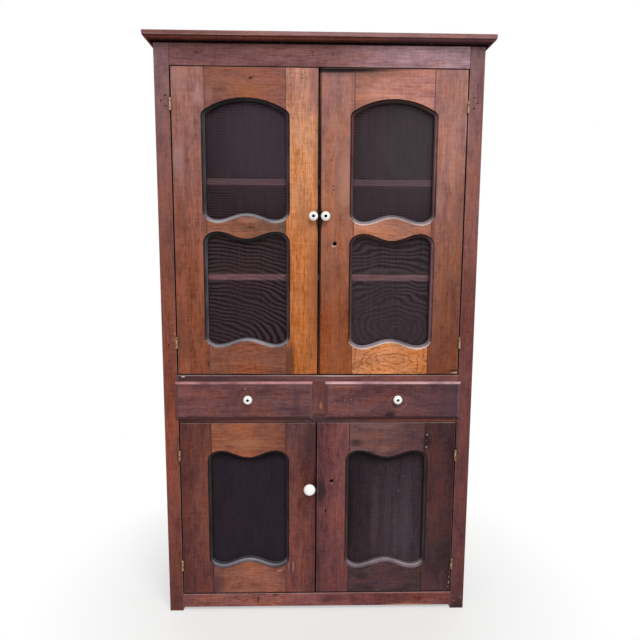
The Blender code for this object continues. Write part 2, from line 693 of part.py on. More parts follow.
def floors_and_shelves():
    floor_board("drawer_floor", DRAWER_FLOOR_LOW, DRAWER_LOW)
    floor_board("upper_floor", DRAWER_HIGH, UPPER_FLOOR_TOP)
    wide = HALF_INSIDE - SEAM
    for name, low in (("low_shelf", LOW_SHELF_LOW), ("high_shelf", HIGH_SHELF_LOW)):
        box(name, (-wide, wide), (SHELF_FRONT, INSIDE_REAR), (low, low + SHELF_THICK), CASE_WOOD, ARRIS)
    bottom = box("bottom_board", (-FRAME_EDGE + SEAM, FRAME_EDGE - SEAM), (FACE, FACE + FRAME_THICK),
                 (FOOT_HEIGHT, BOTTOM_TOP), CASE_WOOD, ARRIS)
    behind = box("bottom_board_behind_rail", (-wide, wide), (FRAME_BACK, INSIDE_REAR),
                 (BOTTOM_TOP - BOTTOM_BOARD_THICK, BOTTOM_TOP - SEAM))
    tongue = box("bottom_board_tongue", (-FRAME_EDGE + STILE_WIDTH, FRAME_EDGE - STILE_WIDTH),
                 (FACE + FRAME_THICK / 2, FRAME_BACK + FRAME_THICK),
                 (BOTTOM_TOP - BOTTOM_BOARD_THICK * 2 / 3, BOTTOM_TOP - BOTTOM_BOARD_THICK / 3))
    combine(bottom, "UNION", [tongue, behind])
    across = (-DIVIDER_WIDTH / 2, DIVIDER_WIDTH / 2)
    divider = box("drawer_divider", across, (FACE, FACE + FRAME_THICK),
                  (DRAWER_LOW + SEAM, DRAWER_HIGH - SEAM), CASE_WOOD)
    guide = box("divider_guide", across, (FACE + FRAME_THICK / 2, INSIDE_REAR),
                (DRAWER_LOW + SEAM, DRAWER_LOW + GUIDE_HEIGHT))
    combine(divider, "UNION", [guide])


def back():
    """Upright planks with a groove at each joint, nailed across the rear of the sides."""
    outline = [(-HALF_WIDTH, BACK_FRONT), (HALF_WIDTH, BACK_FRONT), (HALF_WIDTH, REAR)]
    plank = CASE_WIDTH / BACK_PLANKS
    for joint in range(BACK_PLANKS - 1, 0, -1):
        across = -HALF_WIDTH + joint * plank
        groove = [(across + PLANK_GROOVE, REAR), (across, REAR - PLANK_GROOVE), (across - PLANK_GROOVE, REAR)]
        outline += groove
    outline.append((-HALF_WIDTH, REAR))
    slab("back", outline, FOOT_HEIGHT, CASE_TOP - SEAM, CASE_WOOD)


def cornice():
    """The top board with the moulding under its overhang, mitred round the front and both sides."""
    board = box("cornice", (-HALF_WIDTH - CORNICE_OVERHANG, HALF_WIDTH + CORNICE_OVERHANG),
                (FACE - CORNICE_OVERHANG, REAR), (CASE_TOP, CASE_TOP + TOP_BOARD_THICK), CASE_WOOD, ARRIS)
    foot = CASE_TOP - MOULDING_DROP
    buried = CASE_TOP + TOP_BOARD_THICK / 3
    out = CORNICE_OVERHANG - MOULDING_STEP
    waist = (out + MOULDING_FOOT) / 2
    profile = [(SEAM, buried), (out, buried), (out, CASE_TOP - MOULDING_STEP),
               (waist + MOULDING_STEP, CASE_TOP - MOULDING_BELLY), (MOULDING_FOOT, foot + MOULDING_STEP),
               (MOULDING_FOOT, foot), (SEAM, foot)]

    def station(corner_x, corner_y):
        return [(corner_x(reach), corner_y(reach), height) for reach, height in profile]

    stations = [
        station(lambda reach: -HALF_WIDTH - reach, lambda reach: REAR - SEAM),
        station(lambda reach: -HALF_WIDTH - reach, lambda reach: FACE - reach),
        station(lambda reach: HALF_WIDTH + reach, lambda reach: FACE - reach),
        station(lambda reach: HALF_WIDTH + reach, lambda reach: REAR - SEAM),
    ]
    combine(board, "UNION", [loft("cornice_moulding", stations)])


clear_scene()
new_collection(PARTS)
new_collection(CUTTERS)
CASE_WOOD = finish("red brown stained pine", (0.16, 0.075, 0.062), 0.5)
DOOR_WOOD = finish("orange brown stained pine", (0.27, 0.115, 0.055), 0.45)
DRAWER_WOOD = finish("dark stained pine", (0.11, 0.045, 0.04), 0.5)
PANEL_WOOD = finish("dark painted panel", (0.035, 0.022, 0.024), 0.6)
WIRE = finish("dark wire cloth", (0.03, 0.024, 0.026), 0.5, 0.6)
BRASS = finish("old brass", (0.55, 0.38, 0.18), 0.4, 1.0)
PORCELAIN = finish("white porcelain", (0.82, 0.81, 0.78), 0.15)

face_frame_and_sides()
floors_and_shelves()
back()
cornice()
for door_name, door_side in (("left", -1), ("right", 1)):
    upper_door("upper_" + door_name, door_side)
    lower_door("lower_" + door_name, door_side)
    drawer(door_name + "_drawer", door_side)
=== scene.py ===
"""Old pie safe: worn stained pine, wire cloth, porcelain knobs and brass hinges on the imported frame.

Metres, +Z up, the front faces -Y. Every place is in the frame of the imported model.
"""

import itertools
import math

import bpy
from mathutils import Matrix, Vector


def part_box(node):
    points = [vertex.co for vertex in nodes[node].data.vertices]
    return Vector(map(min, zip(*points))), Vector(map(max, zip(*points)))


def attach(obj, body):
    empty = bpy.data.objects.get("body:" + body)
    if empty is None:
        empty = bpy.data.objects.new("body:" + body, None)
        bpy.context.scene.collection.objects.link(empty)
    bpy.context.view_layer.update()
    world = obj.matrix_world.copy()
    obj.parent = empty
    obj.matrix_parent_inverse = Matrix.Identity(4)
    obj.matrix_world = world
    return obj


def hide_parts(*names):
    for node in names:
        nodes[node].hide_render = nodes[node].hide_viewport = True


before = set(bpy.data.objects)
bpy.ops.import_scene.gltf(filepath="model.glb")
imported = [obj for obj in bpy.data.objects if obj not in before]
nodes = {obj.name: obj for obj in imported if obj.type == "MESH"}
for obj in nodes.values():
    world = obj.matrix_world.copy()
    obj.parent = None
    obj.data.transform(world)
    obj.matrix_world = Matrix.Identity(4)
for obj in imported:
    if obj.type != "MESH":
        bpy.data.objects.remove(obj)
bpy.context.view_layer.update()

MM = 0.001
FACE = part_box("frieze")[0].y
DOOR_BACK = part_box("lower_left_hinge_stile")[1].y
# A wave texture of scale 1 repeats every 314 mm
WAVE_RUN = 0.314
# A Mix node that lays the colour at its input 7 over the one at 6
COLOUR = {"data_type": "RGBA", "out": 2}


def linear(colour):
    """An sRGB hex colour as linear red, green and blue with full alpha."""
    parts = [int(colour[place:place + 2], 16) / 255 for place in (1, 3, 5)]
    return [part / 12.92 if part <= 0.04045 else ((part + 0.055) / 1.055) ** 2.4 for part in parts] + [1.0]


def add(tree, kind, inputs=None, stops=None, out=0, **settings):
    """Adds a shader node and gives the output that out names, or all of them where it is None.

    settings go on the node, inputs are values or the sockets that feed it, stops are the colours of a ramp.
    A MapRange turns its input 0 from the range 1, 2 into the range 3, 4.
    """
    made = tree.nodes.new("ShaderNode" + kind)
    for name, value in settings.items():
        setattr(made, name, value)
    for place, value in (inputs or {}).items():
        if isinstance(value, bpy.types.NodeSocket):
            tree.links.new(value, made.inputs[place])
        else:
            made.inputs[place].default_value = value
    if stops:
        marks = made.color_ramp.elements
        while len(marks) < len(stops):
            marks.new(1.0)
        for mark, (place, colour) in zip(marks, stops):
            mark.position = place
            mark.color = linear(colour)
    return made.outputs if out is None else made.outputs[out]


def new_finish(name):
    """A node material, with its tree, its shader and the place on the object."""
    made = bpy.data.materials.new(name)
    made.use_nodes = True
    tree = made.node_tree
    return made, tree, tree.nodes["Principled BSDF"], add(tree, "TexCoord", out="Object")


def surface(tree, shader, colour, dull, relief, strength, depth):
    """Feeds a shader its colour, its roughness and a relief of so many metres."""
    bump = add(tree, "Bump", {"Strength": strength, "Distance": depth, "Height": relief})
    for socket, source in (("Base Color", colour), ("Roughness", dull), ("Normal", bump)):
        tree.links.new(source, shader.inputs[socket])


def dress(node, finish):
    """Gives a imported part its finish."""
    nodes[node].data.materials.clear()
    nodes[node].data.materials.append(finish)


# Pine stained red-brown and shellacked, then rubbed and soiled for a century: streaky grain, dark flecks, a
# fine crackle across the grain, purple-grey soil, orange rubbed places and chipped specks.
# Each layer of noise has its width across the grain in millimetres, how many times longer it runs along it,
# and its detail. The fine grain of pine is under a millimetre: it is drawn at one to two pixels, so that it
# shows.
STREAK = (30.0, 18.0, 4.0)
FINE = (5.0, 14.0, 3.0)
PORE = (3.0, 9.0, 2.0)
FLECK = (3.6, 8.0, 2.0)
CURL = (42.0, 0.16, 2.0)
MOTTLE = (13.0, 1.2, 3.0)
BLOTCH = (46.0, 2.6, 6.0)
SPECK = (8.0, 1.6, 3.0)
# Soiled, plain and rubbed stain, as shares of the board's own colour
SOILED, PLAIN, RUBBED = "#b4adbe", "#e7e7e7", "#ffe8cc"
SHARE_OF_PLAIN = 1.25
RAW_DARK, RAW_LIGHT = "#4c3527", "#94704f"
# Near-black for dirt, and for painted shade in gaps, along meeting edges and on ledges; then worn edges and
# chipped specks
DIRT_AND_SHADE, WORN, CHIPPED = "#1c1214", "#94706a", "#b98a70"
# Flecks and chips fade in between these levels of their noise
FLECKED, SPECKED = (0.60, 0.74), (0.62, 0.78)
# Most of a noise lies in this range, as a MapRange takes it, and worn edges come and go over a narrower one
NOISE_RANGE, EDGE_RANGE = {1: 0.3, 2: 0.7}, {1: 0.35, 2: 0.6}
UNEVEN_GLOSS = 0.12
GRAIN_DEPTH = 0.5 * MM
# Rings of a figure are drawn out along the grain: a length along it counts for this much
FIGURE_SHARE = 0.48
# Marks up to this half size keep their outline and larger ones wander from it. All fade over a share of
# their size, and an outlined mark is a rim alone
CRISP, WANDER, WANDER_STEP, FADE = 6 * MM, 20 * MM, 30 * MM, 0.6
RIM, RIM_SPREAD = 0.09, 0.07
# The normal of an eased edge has this Y, give or take, and that of a ledge more than this much Z
EASED, EASED_SPREAD, UPRIGHT = -0.6, 0.32, 0.9
# The paint of a moulding starts this far behind the face, and this far outside the sheet let into the door
PAINT_BEHIND, PAINT_OUTSIDE = 1.3 * MM, 6 * MM


def grain_noise(tree, place, grain, layer, seed):
    """One layer of noise, drawn out along the grain."""
    width, run, detail = layer
    across, lengthwise = 1 / (width * MM), 1 / (width * run * MM)
    scale = (lengthwise, across, across) if grain == "X" else (across, across, lengthwise)
    shift = (seed * 3.1, seed * 1.7, seed * 2.3)
    drawn = add(tree, "Mapping", {"Vector": place, "Location": shift, "Scale": scale})
    return add(tree, "TexNoise", {"Vector": drawn, "Scale": 1.0, "Detail": detail, "Roughness": 0.58})


def tone_ramp(tree, axis, tones):
    """Colours at places along an axis."""
    first, last = tones[0][0], tones[-1][0]
    run = add(tree, "MapRange", {0: axis, 1: first, 2: last})
    stops = [((at - first) / (last - first), colour) for at, colour in tones]
    return add(tree, "ValToRGB", {0: run}, stops=stops)


def lay_spots(tree, place, shade, spots):
    """Knots, stains, rubbed places, painted highlights and painted shade: (x, z, half width, half height,
    colour, strength) or an outline.
    """
    drift = add(tree, "TexNoise", {"Vector": place, "Scale": 1 / WANDER_STEP, "Detail": 4.0}, out=1)
    drift = add(tree, "VectorMath", {0: drift, 1: (0.5, 0.5, 0.5)}, operation="SUBTRACT")
    loose = add(tree, "VectorMath", {0: drift, 1: (WANDER, 0.0, WANDER), 2: place},
                operation="MULTIPLY_ADD")
    for x, z, wide, high, colour, strength, *outline in spots:
        source = loose if min(wide, high) > CRISP and not outline else place
        centred = add(tree, "Mapping", {"Vector": source, "Location": (-x / wide, 0.0, -z / high),
                                        "Scale": (1 / wide, 0.0, 1 / high)})
        ball = add(tree, "TexGradient", {0: centred}, gradient_type="SPHERICAL", out=1)
        amount = add(tree, "MapRange", {0: ball, 1: 0.0, 2: FADE, 3: 0.0, 4: strength})
        if outline:
            amount = add(tree, "Math", {0: ball, 1: RIM, 2: RIM_SPREAD}, operation="COMPARE")
            amount = add(tree, "Math", {0: amount, 1: strength}, operation="MULTIPLY")
        shade = add(tree, "Mix", {0: amount, 6: shade, 7: linear(colour)}, **COLOUR)
    return shade


def paint_moulding(tree, axes, normal, shade, uneven, moulding):
    """Black paint on the moulded edge of an opening by depth, lit and shaded in paint by how it faces."""
    (middle_x, middle_z, half_x, half_z), shaded, leftward, rightward, upward = moulding
    sunk = add(tree, "Math", {0: axes["Y"], 1: FACE + PAINT_BEHIND}, operation="GREATER_THAN")
    for axis, middle, half in (("X", middle_x, half_x), ("Z", middle_z, half_z)):
        within = add(tree, "Math", {0: axes[axis], 1: middle, 2: half}, operation="COMPARE")
        sunk = add(tree, "Math", {0: sunk, 1: within}, operation="MULTIPLY")
    depth = add(tree, "MapRange", {0: axes["Y"], 1: FACE, 2: DOOR_BACK})
    rubbed = add(tree, "MapRange", {0: uneven, **NOISE_RANGE, 3: -0.03, 4: 0.03})
    depth = add(tree, "Math", {0: depth, 1: rubbed})
    paint = add(tree, "ValToRGB", {0: depth}, stops=shaded)
    # Paint lit and shaded by the way the surface faces: lighter where it looks to either side, and painted
    # highlights where it looks up
    facings = (("X", leftward, -0.2, -0.6), ("X", rightward, 0.2, 0.6), ("Z", upward, 0.05, 0.58))
    for way, stops, least, full in facings:
        facing = add(tree, "MapRange", {0: normal[way], 1: least, 2: full})
        worn = add(tree, "ValToRGB", {0: depth}, stops=stops)
        paint = add(tree, "Mix", {0: facing, 6: paint, 7: worn}, **COLOUR)
    patchy = add(tree, "MapRange", {0: uneven, 1: 0.35, 2: 0.65, 3: 0.6, 4: 1.4})
    paint = add(tree, "HueSaturation", {"Color": paint, "Value": patchy})
    return add(tree, "Mix", {0: sunk, 6: shade, 7: paint}, **COLOUR)


def stained_pine(name, grain, tones, cross=None, spots=(), contrast=0.9, wear=0.5, seed=0.0, moulding=None,
                 raw=None, figure=None, top=None, foot=None, ledge=None, arris=(WORN, WORN, WORN), rough=0.5,
                 shine=0.12, along=None):
    """Old stained pine.

    tones are the colours along the grain, or along the axis that along names, and cross those that tint it
    across the grain. figure is the (x, z, ring width, strength) of a cathedral figure. top is the (colour,
    strength, lowest height) of an upper edge, worn and lightened by a painted highlight, foot the (colour,
    strength, greatest height) of painted shade along a lower edge, and the ledge setting is the colour of
    painted shade on what looks straight up or down. arris holds the colours of the eased edges that face
    left, up or down, and right. raw is the (axis, place, side) beyond which the board is bare. The axis rear
    stands for how far it looks to the rear.
    """
    finish, tree, shader, place = new_finish(name)
    axes = add(tree, "SeparateXYZ", {0: place}, out=None)
    normal = add(tree, "SeparateXYZ", {0: add(tree, "TexCoord", out="Normal")}, out=None)
    streak, fine, pore, fleck, curl, mottle, blotch, speck = [
        grain_noise(tree, place, grain, layer, seed)
        for layer in (STREAK, FINE, PORE, FLECK, CURL, MOTTLE, BLOTCH, SPECK)]

    # The stain, darker and lighter along the grain
    strengths = ((streak, 0.6), (fine, 0.8), (pore, 0.6), (curl, 0.4), (mottle, 0.3))
    level = SHARE_OF_PLAIN * (1.0 - contrast * sum(strength for noise, strength in strengths) / 2)
    for noise, strength in strengths:
        level = add(tree, "Math", {0: noise, 1: SHARE_OF_PLAIN * contrast * strength,
                                   2: level}, operation="MULTIPLY_ADD")
    dark = add(tree, "MapRange", {0: fleck, 1: FLECKED[0], 2: FLECKED[1], 3: 0.0, 4: -0.4 * contrast})
    level = add(tree, "Math", {0: level, 1: dark})
    if figure:
        ring_x, ring_z, ring_width, strength = figure
        drawn = add(tree, "Mapping", {"Vector": place, "Location": (-ring_x * FIGURE_SHARE, 0.0, -ring_z),
                                      "Scale": (FIGURE_SHARE, 0.0, 1.0)})
        wave = add(tree, "TexWave", {
            "Vector": drawn, "Scale": WAVE_RUN / (ring_width * MM), "Distortion": 11.0, "Detail": 3.0,
            "Detail Scale": 1.6}, out="Fac", wave_type="RINGS", rings_direction="Y", wave_profile="SAW")
        ring = add(tree, "MapRange", {0: wave, 1: 0.75, 2: 1.0, 3: 0.0, 4: -strength})
        level = add(tree, "Math", {0: level, 1: ring})
    strong = add(tree, "MapRange", {0: level, 1: 0.7, 2: 1.3, 3: 1.2, 4: 1.0})
    shade = add(tree, "HueSaturation", {"Color": tone_ramp(tree, axes[along or grain], tones),
                                        "Saturation": strong, "Value": level})
    if cross:
        soil = tone_ramp(tree, axes["Z" if grain == "X" else "X"], cross)
        shade = add(tree, "Mix", {0: 1.0, 6: shade, 7: soil}, **COLOUR, blend_type="MULTIPLY")
    soil = add(tree, "ValToRGB", {0: blotch}, stops=[(0.38, SOILED), (0.5, PLAIN), (0.62, RUBBED)])
    soil = add(tree, "Mix", {0: wear, 6: linear(PLAIN), 7: soil}, **COLOUR)
    shade = add(tree, "Mix", {0: 1.0, 6: shade, 7: soil}, **COLOUR, blend_type="MULTIPLY")
    chip = add(tree, "MapRange", {0: speck, 1: SPECKED[0], 2: SPECKED[1], 3: 0.0, 4: 0.35 * wear})
    shade = add(tree, "Mix", {0: chip, 6: shade, 7: linear(CHIPPED)}, **COLOUR)
    if spots:
        shade = lay_spots(tree, place, shade, spots)

    # Eased edges in the given colours: rubbed, dirt-filled, and on some boards lit and shaded in paint.
    # Then upper edges, worn and with a painted highlight, painted shade on lower edges and on ledges, and
    # bare wood
    if arris:
        slant = add(tree, "Math", {0: normal["Y"], 1: EASED, 2: EASED_SPREAD}, operation="COMPARE")
        uneven = add(tree, "MapRange", {0: blotch, **EDGE_RANGE, 3: 0.5, 4: 0.9})
        slant = add(tree, "Math", {0: slant, 1: uneven}, operation="MULTIPLY")
        side = add(tree, "MapRange", {0: normal["X"], 1: -0.5, 2: 0.5})
        edge = add(tree, "ValToRGB", {0: side}, stops=list(zip((0.0, 0.5, 1.0), arris)))
        shade = add(tree, "Mix", {0: slant, 6: shade, 7: edge}, **COLOUR)
    # Upper edges lightened by wear and a painted highlight, lower edges darkened with painted shade
    for edge, beyond in ((top, 1 * MM), (foot, -1 * MM)):
        if edge:
            colour, strength, height = edge
            reached = add(tree, "MapRange", {0: axes["Z"], 1: height - beyond, 2: height + beyond})
            uneven = add(tree, "MapRange", {0: blotch, **EDGE_RANGE, 3: 0.3 * strength, 4: strength})
            reached = add(tree, "Math", {0: reached, 1: uneven}, operation="MULTIPLY")
            shade = add(tree, "Mix", {0: reached, 6: shade, 7: linear(colour)}, **COLOUR)
    # Painted shade on faces that look straight up or down
    if ledge:
        flat = add(tree, "Math", {0: normal["Z"]}, operation="ABSOLUTE")
        flat = add(tree, "Math", {0: flat, 1: UPRIGHT}, operation="GREATER_THAN")
        shade = add(tree, "Mix", {0: flat, 6: shade, 7: linear(ledge)}, **COLOUR)
    if moulding:
        shade = paint_moulding(tree, axes, normal, shade, blotch, moulding)
    if raw:
        axis, limit, beyond = raw
        bare = add(tree, "Math", {0: normal["Y"] if axis == "rear" else axes[axis], 1: limit},
                   operation=beyond)
        lit = add(tree, "MapRange", {0: level, 1: 0.85, 2: 1.65})
        wood = add(tree, "Mix", {0: lit, 6: linear(RAW_DARK), 7: linear(RAW_LIGHT)}, **COLOUR)
        wood = add(tree, "Mix", {0: 1.0, 6: wood, 7: soil}, **COLOUR, blend_type="MULTIPLY")
        shade = add(tree, "Mix", {0: bare, 6: shade, 7: wood}, **COLOUR)

    dull = add(tree, "MapRange", {0: blotch, **NOISE_RANGE, 3: rough + UNEVEN_GLOSS,
                                  4: rough - UNEVEN_GLOSS})
    relief = add(tree, "Math", {0: fine, 1: pore})
    surface(tree, shader, shade, dull, relief, 0.4, GRAIN_DEPTH)
    shader.inputs["Specular IOR Level"].default_value = shine
    return finish


def opening_box(sheet):
    """Middle and half size of a door's openings, moulding included, from the sheet let into its back."""
    low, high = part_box(sheet)
    middle, half = (low + high) / 2, (high - low) / 2
    return middle.x, middle.z, half.x + PAINT_OUTSIDE, half.z + PAINT_OUTSIDE


# Paint of the mouldings by depth, from the face of the door (0) to its back (1), in painted light and
# shade: on faces in the shade, on those that look to the left and to the right, painted lighter as if lit,
# and on the sills, which look up, with painted highlights
MOULDINGS = {
    "upper_left": (
        opening_box("upper_left_screen"),
        [(0.0, "#140e0f"), (0.12, "#161011"), (0.25, "#262122"), (0.42, "#161112"), (0.6, "#0b0809")],
        [(0.0, "#46281f"), (0.13, "#3c2420"), (0.22, "#453a3c"), (0.45, "#3a3032"), (0.6, "#1c1617")],
        [(0.0, "#161011"), (0.12, "#2a2426"), (0.25, "#454043"), (0.38, "#3c373a"), (0.45, "#5a5558"),
         (0.52, "#161112"), (0.8, "#0e0a0b")],
        [(0.09, "#878083"), (0.15, "#bfb8bb"), (0.22, "#989197"), (0.32, "#757077"), (0.44, "#403a3e"),
         (0.55, "#181315")]),
    "upper_right": (
        opening_box("upper_right_screen"),
        [(0.0, "#1c0f0f"), (0.12, "#1e1111"), (0.25, "#3d2826"), (0.42, "#241616"), (0.6, "#0e0809")],
        [(0.0, "#7a5652"), (0.12, "#684846"), (0.22, "#86666a"), (0.34, "#573a3d"), (0.46, "#3a282c"),
         (0.6, "#1c1214")],
        [(0.0, "#1e1110"), (0.12, "#2c1a18"), (0.28, "#64463f"), (0.42, "#4a3432"), (0.52, "#1a1011"),
         (0.8, "#120b0c")],
        [(0.07, "#e2c2b6"), (0.14, "#ffece4"), (0.2, "#a39296"), (0.3, "#70646b"), (0.38, "#85777f"),
         (0.46, "#594f57"), (0.54, "#1e171a")]),
    "lower_left": (
        opening_box("lower_left_panel"),
        [(0.0, "#0f0b0c"), (0.12, "#120d0e"), (0.25, "#1e1819"), (0.42, "#120d0e"), (0.6, "#090707")],
        [(0.0, "#3c2220"), (0.13, "#2e1c1c"), (0.25, "#30282a"), (0.42, "#1e1819"), (0.6, "#0c090a")],
        [(0.0, "#120d0e"), (0.12, "#1a1415"), (0.27, "#332a2a"), (0.42, "#1a1415"), (0.55, "#0c090a")],
        [(0.06, "#5a4642"), (0.14, "#6e6064"), (0.26, "#706b73"), (0.38, "#64606a"), (0.47, "#1e1a1c"),
         (0.68, "#181416"), (0.73, "#7d797e"), (0.8, "#565254"), (0.92, "#2a2527")]),
    "lower_right": (
        opening_box("lower_right_panel"),
        [(0.0, "#181011"), (0.12, "#1a1213"), (0.25, "#2c2021"), (0.42, "#191213"), (0.6, "#0b0809")],
        [(0.0, "#3a2a2c"), (0.13, "#30242a"), (0.25, "#403236"), (0.42, "#261c1e"), (0.6, "#100b0c")],
        [(0.0, "#1e1414"), (0.12, "#241818"), (0.28, "#443030"), (0.42, "#2a1e1e"), (0.55, "#120c0d")],
        [(0.08, "#6a5658"), (0.16, "#8a7a80"), (0.24, "#76686e"), (0.33, "#92828a"), (0.45, "#6e6066"),
         (0.55, "#524749"), (0.68, "#544a4d"), (0.73, "#96878c"), (0.8, "#706468"), (0.92, "#463c40")]),
}
# Where the stain ends: at the backs of the doors, and a little way behind the front of the rest
DOOR_BARE = ("rear", 0.5, "GREATER_THAN")
FRAME_BARE = ("Y", FACE + 21 * MM, "GREATER_THAN")
FLOOR_BARE = ("Y", FACE + 6 * MM, "GREATER_THAN")
SHELF_BARE = ("Y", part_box("low_shelf")[0].y + 4 * MM, "GREATER_THAN")
# The side boards are bare from here inwards, just short of their inner faces, as a distance from the middle
SIDE_INSIDE = 0.5352
# Eased edges of the door boards, by the end of their names: worn where they are the door's own edge, filled
# with dirt at the joints
JOINT, SOFT_JOINT = "#3c2520", "#69483e"
RAIL_ENDS = (JOINT, WORN, JOINT)
EDGES = {"left_hinge_stile": (WORN, WORN, JOINT), "right_hinge_stile": (JOINT, WORN, WORN), "rail": RAIL_ENDS}
# Eased edges of the drawer fronts, lit and shaded in paint: lighter where they face right, darker where they
# face left, and dark with painted shade on the lower edge
LEFT_DRAWER_LIT_EDGES = ("#5c3e3e", "#402726", "#6c4c4c")
RIGHT_DRAWER_LIT_EDGES = ("#5c3e3e", "#2e1917", "#6c4c4c")
# Upper edges of the lower doors, worn and lightened by a painted highlight
LEFT_TOP_HIGHLIGHT, RIGHT_TOP_HIGHLIGHT = ("#8a7068", 0.8, 0.7312), ("#9a8a88", 0.8, 0.7312)
# What the boards of the upper doors share, and those of the lower ones: painted shade at the foot, and on
# the lower doors on ledges too
FOOT_SHADE = "#1a1112"
UPPER_DOOR = {"raw": DOOR_BARE, "foot": (FOOT_SHADE, 0.95, 0.915)}
LOWER_DOOR = {"raw": DOOR_BARE, "foot": (FOOT_SHADE, 0.95, 0.073), "ledge": DIRT_AND_SHADE, "wear": 0.65,
              "contrast": 1.05}
# Painted shade in the gaps beside the doors, by the end of a board's name: a line this far to the right
GAP_SHADE = {"left_stile": -0.504, "right_stile": 0.504,
            "left_hinge_stile": -0.5015, "right_hinge_stile": 0.5015}
GAP_HALF_WIDTH, GAP_MIDDLE, GAP_HALF_HEIGHT = 2.6 * MM, 1.0, 6.0
# Painted shade in the dark gap over the right door, which hangs low at its meeting edge
DEEP_SHADE = "#0c0405"
LOW_CORNER_SHADE = [(0.02, 1.959, 0.36, 0.006, DEEP_SHADE, 1.0), (0.03, 1.9545, 0.26, 0.006, DEEP_SHADE, 1.0),
              (0.03, 1.9505, 0.18, 0.006, DEEP_SHADE, 0.8)]

# Each board takes its noise from another place
SEEDS = itertools.count(1)


def stain(board, grain, tones, **rest):
    """Dresses a board in stained pine, with its tones along the grain and what else sets it apart."""
    for ending, edges in EDGES.items():
        if board.endswith(ending):
            rest = {"arris": edges, **rest}
    door = "_".join(board.split("_")[:2])
    if door in MOULDINGS:
        upper = board.startswith("upper")
        rest = {**(UPPER_DOOR if upper else LOWER_DOOR), **rest}
        if upper:
            rest["arris"] = [SOFT_JOINT if edge == JOINT else edge for edge in rest["arris"]]
        if not board.endswith("panel"):
            rest["moulding"] = MOULDINGS[door]
    # Painted shade in the gap beside the door
    for ending, x in GAP_SHADE.items():
        if board.endswith(ending):
            gap = (x, GAP_MIDDLE, GAP_HALF_WIDTH, GAP_HALF_HEIGHT, DIRT_AND_SHADE, 1.0)
            rest["spots"] = [gap, *rest.get("spots", ())]
    dress(board, stained_pine(board.replace("_", " ") + " pine", grain, tones, seed=next(SEEDS), **rest))


stain("left_stile", "Z", [(0.0, "#5d3634"), (0.7, "#844a3c"), (1.3, "#7c4a3d"), (2.05, "#886567")],
      raw=FRAME_BARE, spots=[
      (-0.497, 0.625, 0.018, 0.072, "#3a201c", 0.8, "outline"), (-0.503, 0.612, 0.009, 0.034, DIRT_AND_SHADE, 0.85),
      (-0.51, 1.0606, 0.003, 0.004, "#c09a8a", 0.8), (-0.5124, 1.0372, 0.003, 0.003, "#c09a8a", 0.8)])
stain("right_stile", "Z", [(0.0, "#553235"), (0.9, "#704441"), (1.1, "#653b3a"), (1.25, "#70463f"),
      (1.4, "#855650"), (1.7, "#8f625c"), (2.05, "#7e5e63")], raw=FRAME_BARE, spots=[
      # Painted highlight down the gap beside the upper right door, where the lit edge shows (first mark
      # below)
      (0.505, 1.83, 0.004, 0.15, "#b08880", 0.9), (0.508, 0.63, 0.008, 0.03, DIRT_AND_SHADE, 0.6),
      (0.533, 0.012, 0.032, 0.034, "#2e1f20", 0.7), (0.545, 0.045, 0.004, 0.003, "#a08880", 0.7),
      (0.52, 0.03, 0.003, 0.003, "#a08880", 0.7), (0.552, 0.02, 0.003, 0.005, "#8a706a", 0.7),
      (0.512, 0.052, 0.003, 0.002, "#8a706a", 0.6)])
stain("left_side", "Z", [(0.0, "#5d3634"), (1.0, "#7a463c"), (2.05, "#805a58")],
      raw=("X", -SIDE_INSIDE, "GREATER_THAN"))
stain("right_side", "Z", [(0.0, "#583538"), (1.0, "#6f4442"), (2.05, "#7c5a5c")],
      raw=("X", SIDE_INSIDE, "LESS_THAN"))
# The frieze grows lighter to the right as painted light and reflection, and its flat faces take painted shade
stain("frieze", "X", [(-0.5, "#7b5352"), (0.05, "#7e5655"), (0.3, "#b08a90"), (0.5, "#ab8c93")],
      raw=FRAME_BARE, contrast=1.3, wear=0.35, ledge=DIRT_AND_SHADE, arris=(SOFT_JOINT, "#7e5c54", SOFT_JOINT),
      spots=[
      (-0.4173, 2.0065, 0.008, 0.007, "#43262a", 0.8), (0.29, 1.974, 0.13, 0.012, "#7c5c60", 0.55)])
# Tones up the cornice: painted shade at the foot of the moulding and under the fillet, and a painted
# highlight on the moulding's round; top paints a highlight along the upper edge of the fillet
stain("cornice", "X", [(2.035, "#0d0809"), (2.039, "#140b0c"), (2.0415, "#3a201c"), (2.047, "#7d4a40"),
      (2.0515, "#3c2220"), (2.0535, "#9a706c"), (2.067, "#8e6a6a")],
      along="Z", contrast=1.0, arris=None, rough=0.75, shine=0.0, top=("#a9847e", 0.7, 2.0645), spots=[
      (0.42, 2.043, 0.34, 0.006, "#30202a", 0.7), (0.44, 2.0485, 0.34, 0.006, "#604650", 0.6),
      (0.1, 2.06, 0.4, 0.006, "#b08a88", 0.5), (-0.5, 2.06, 0.3, 0.006, "#6a443e", 0.6)])
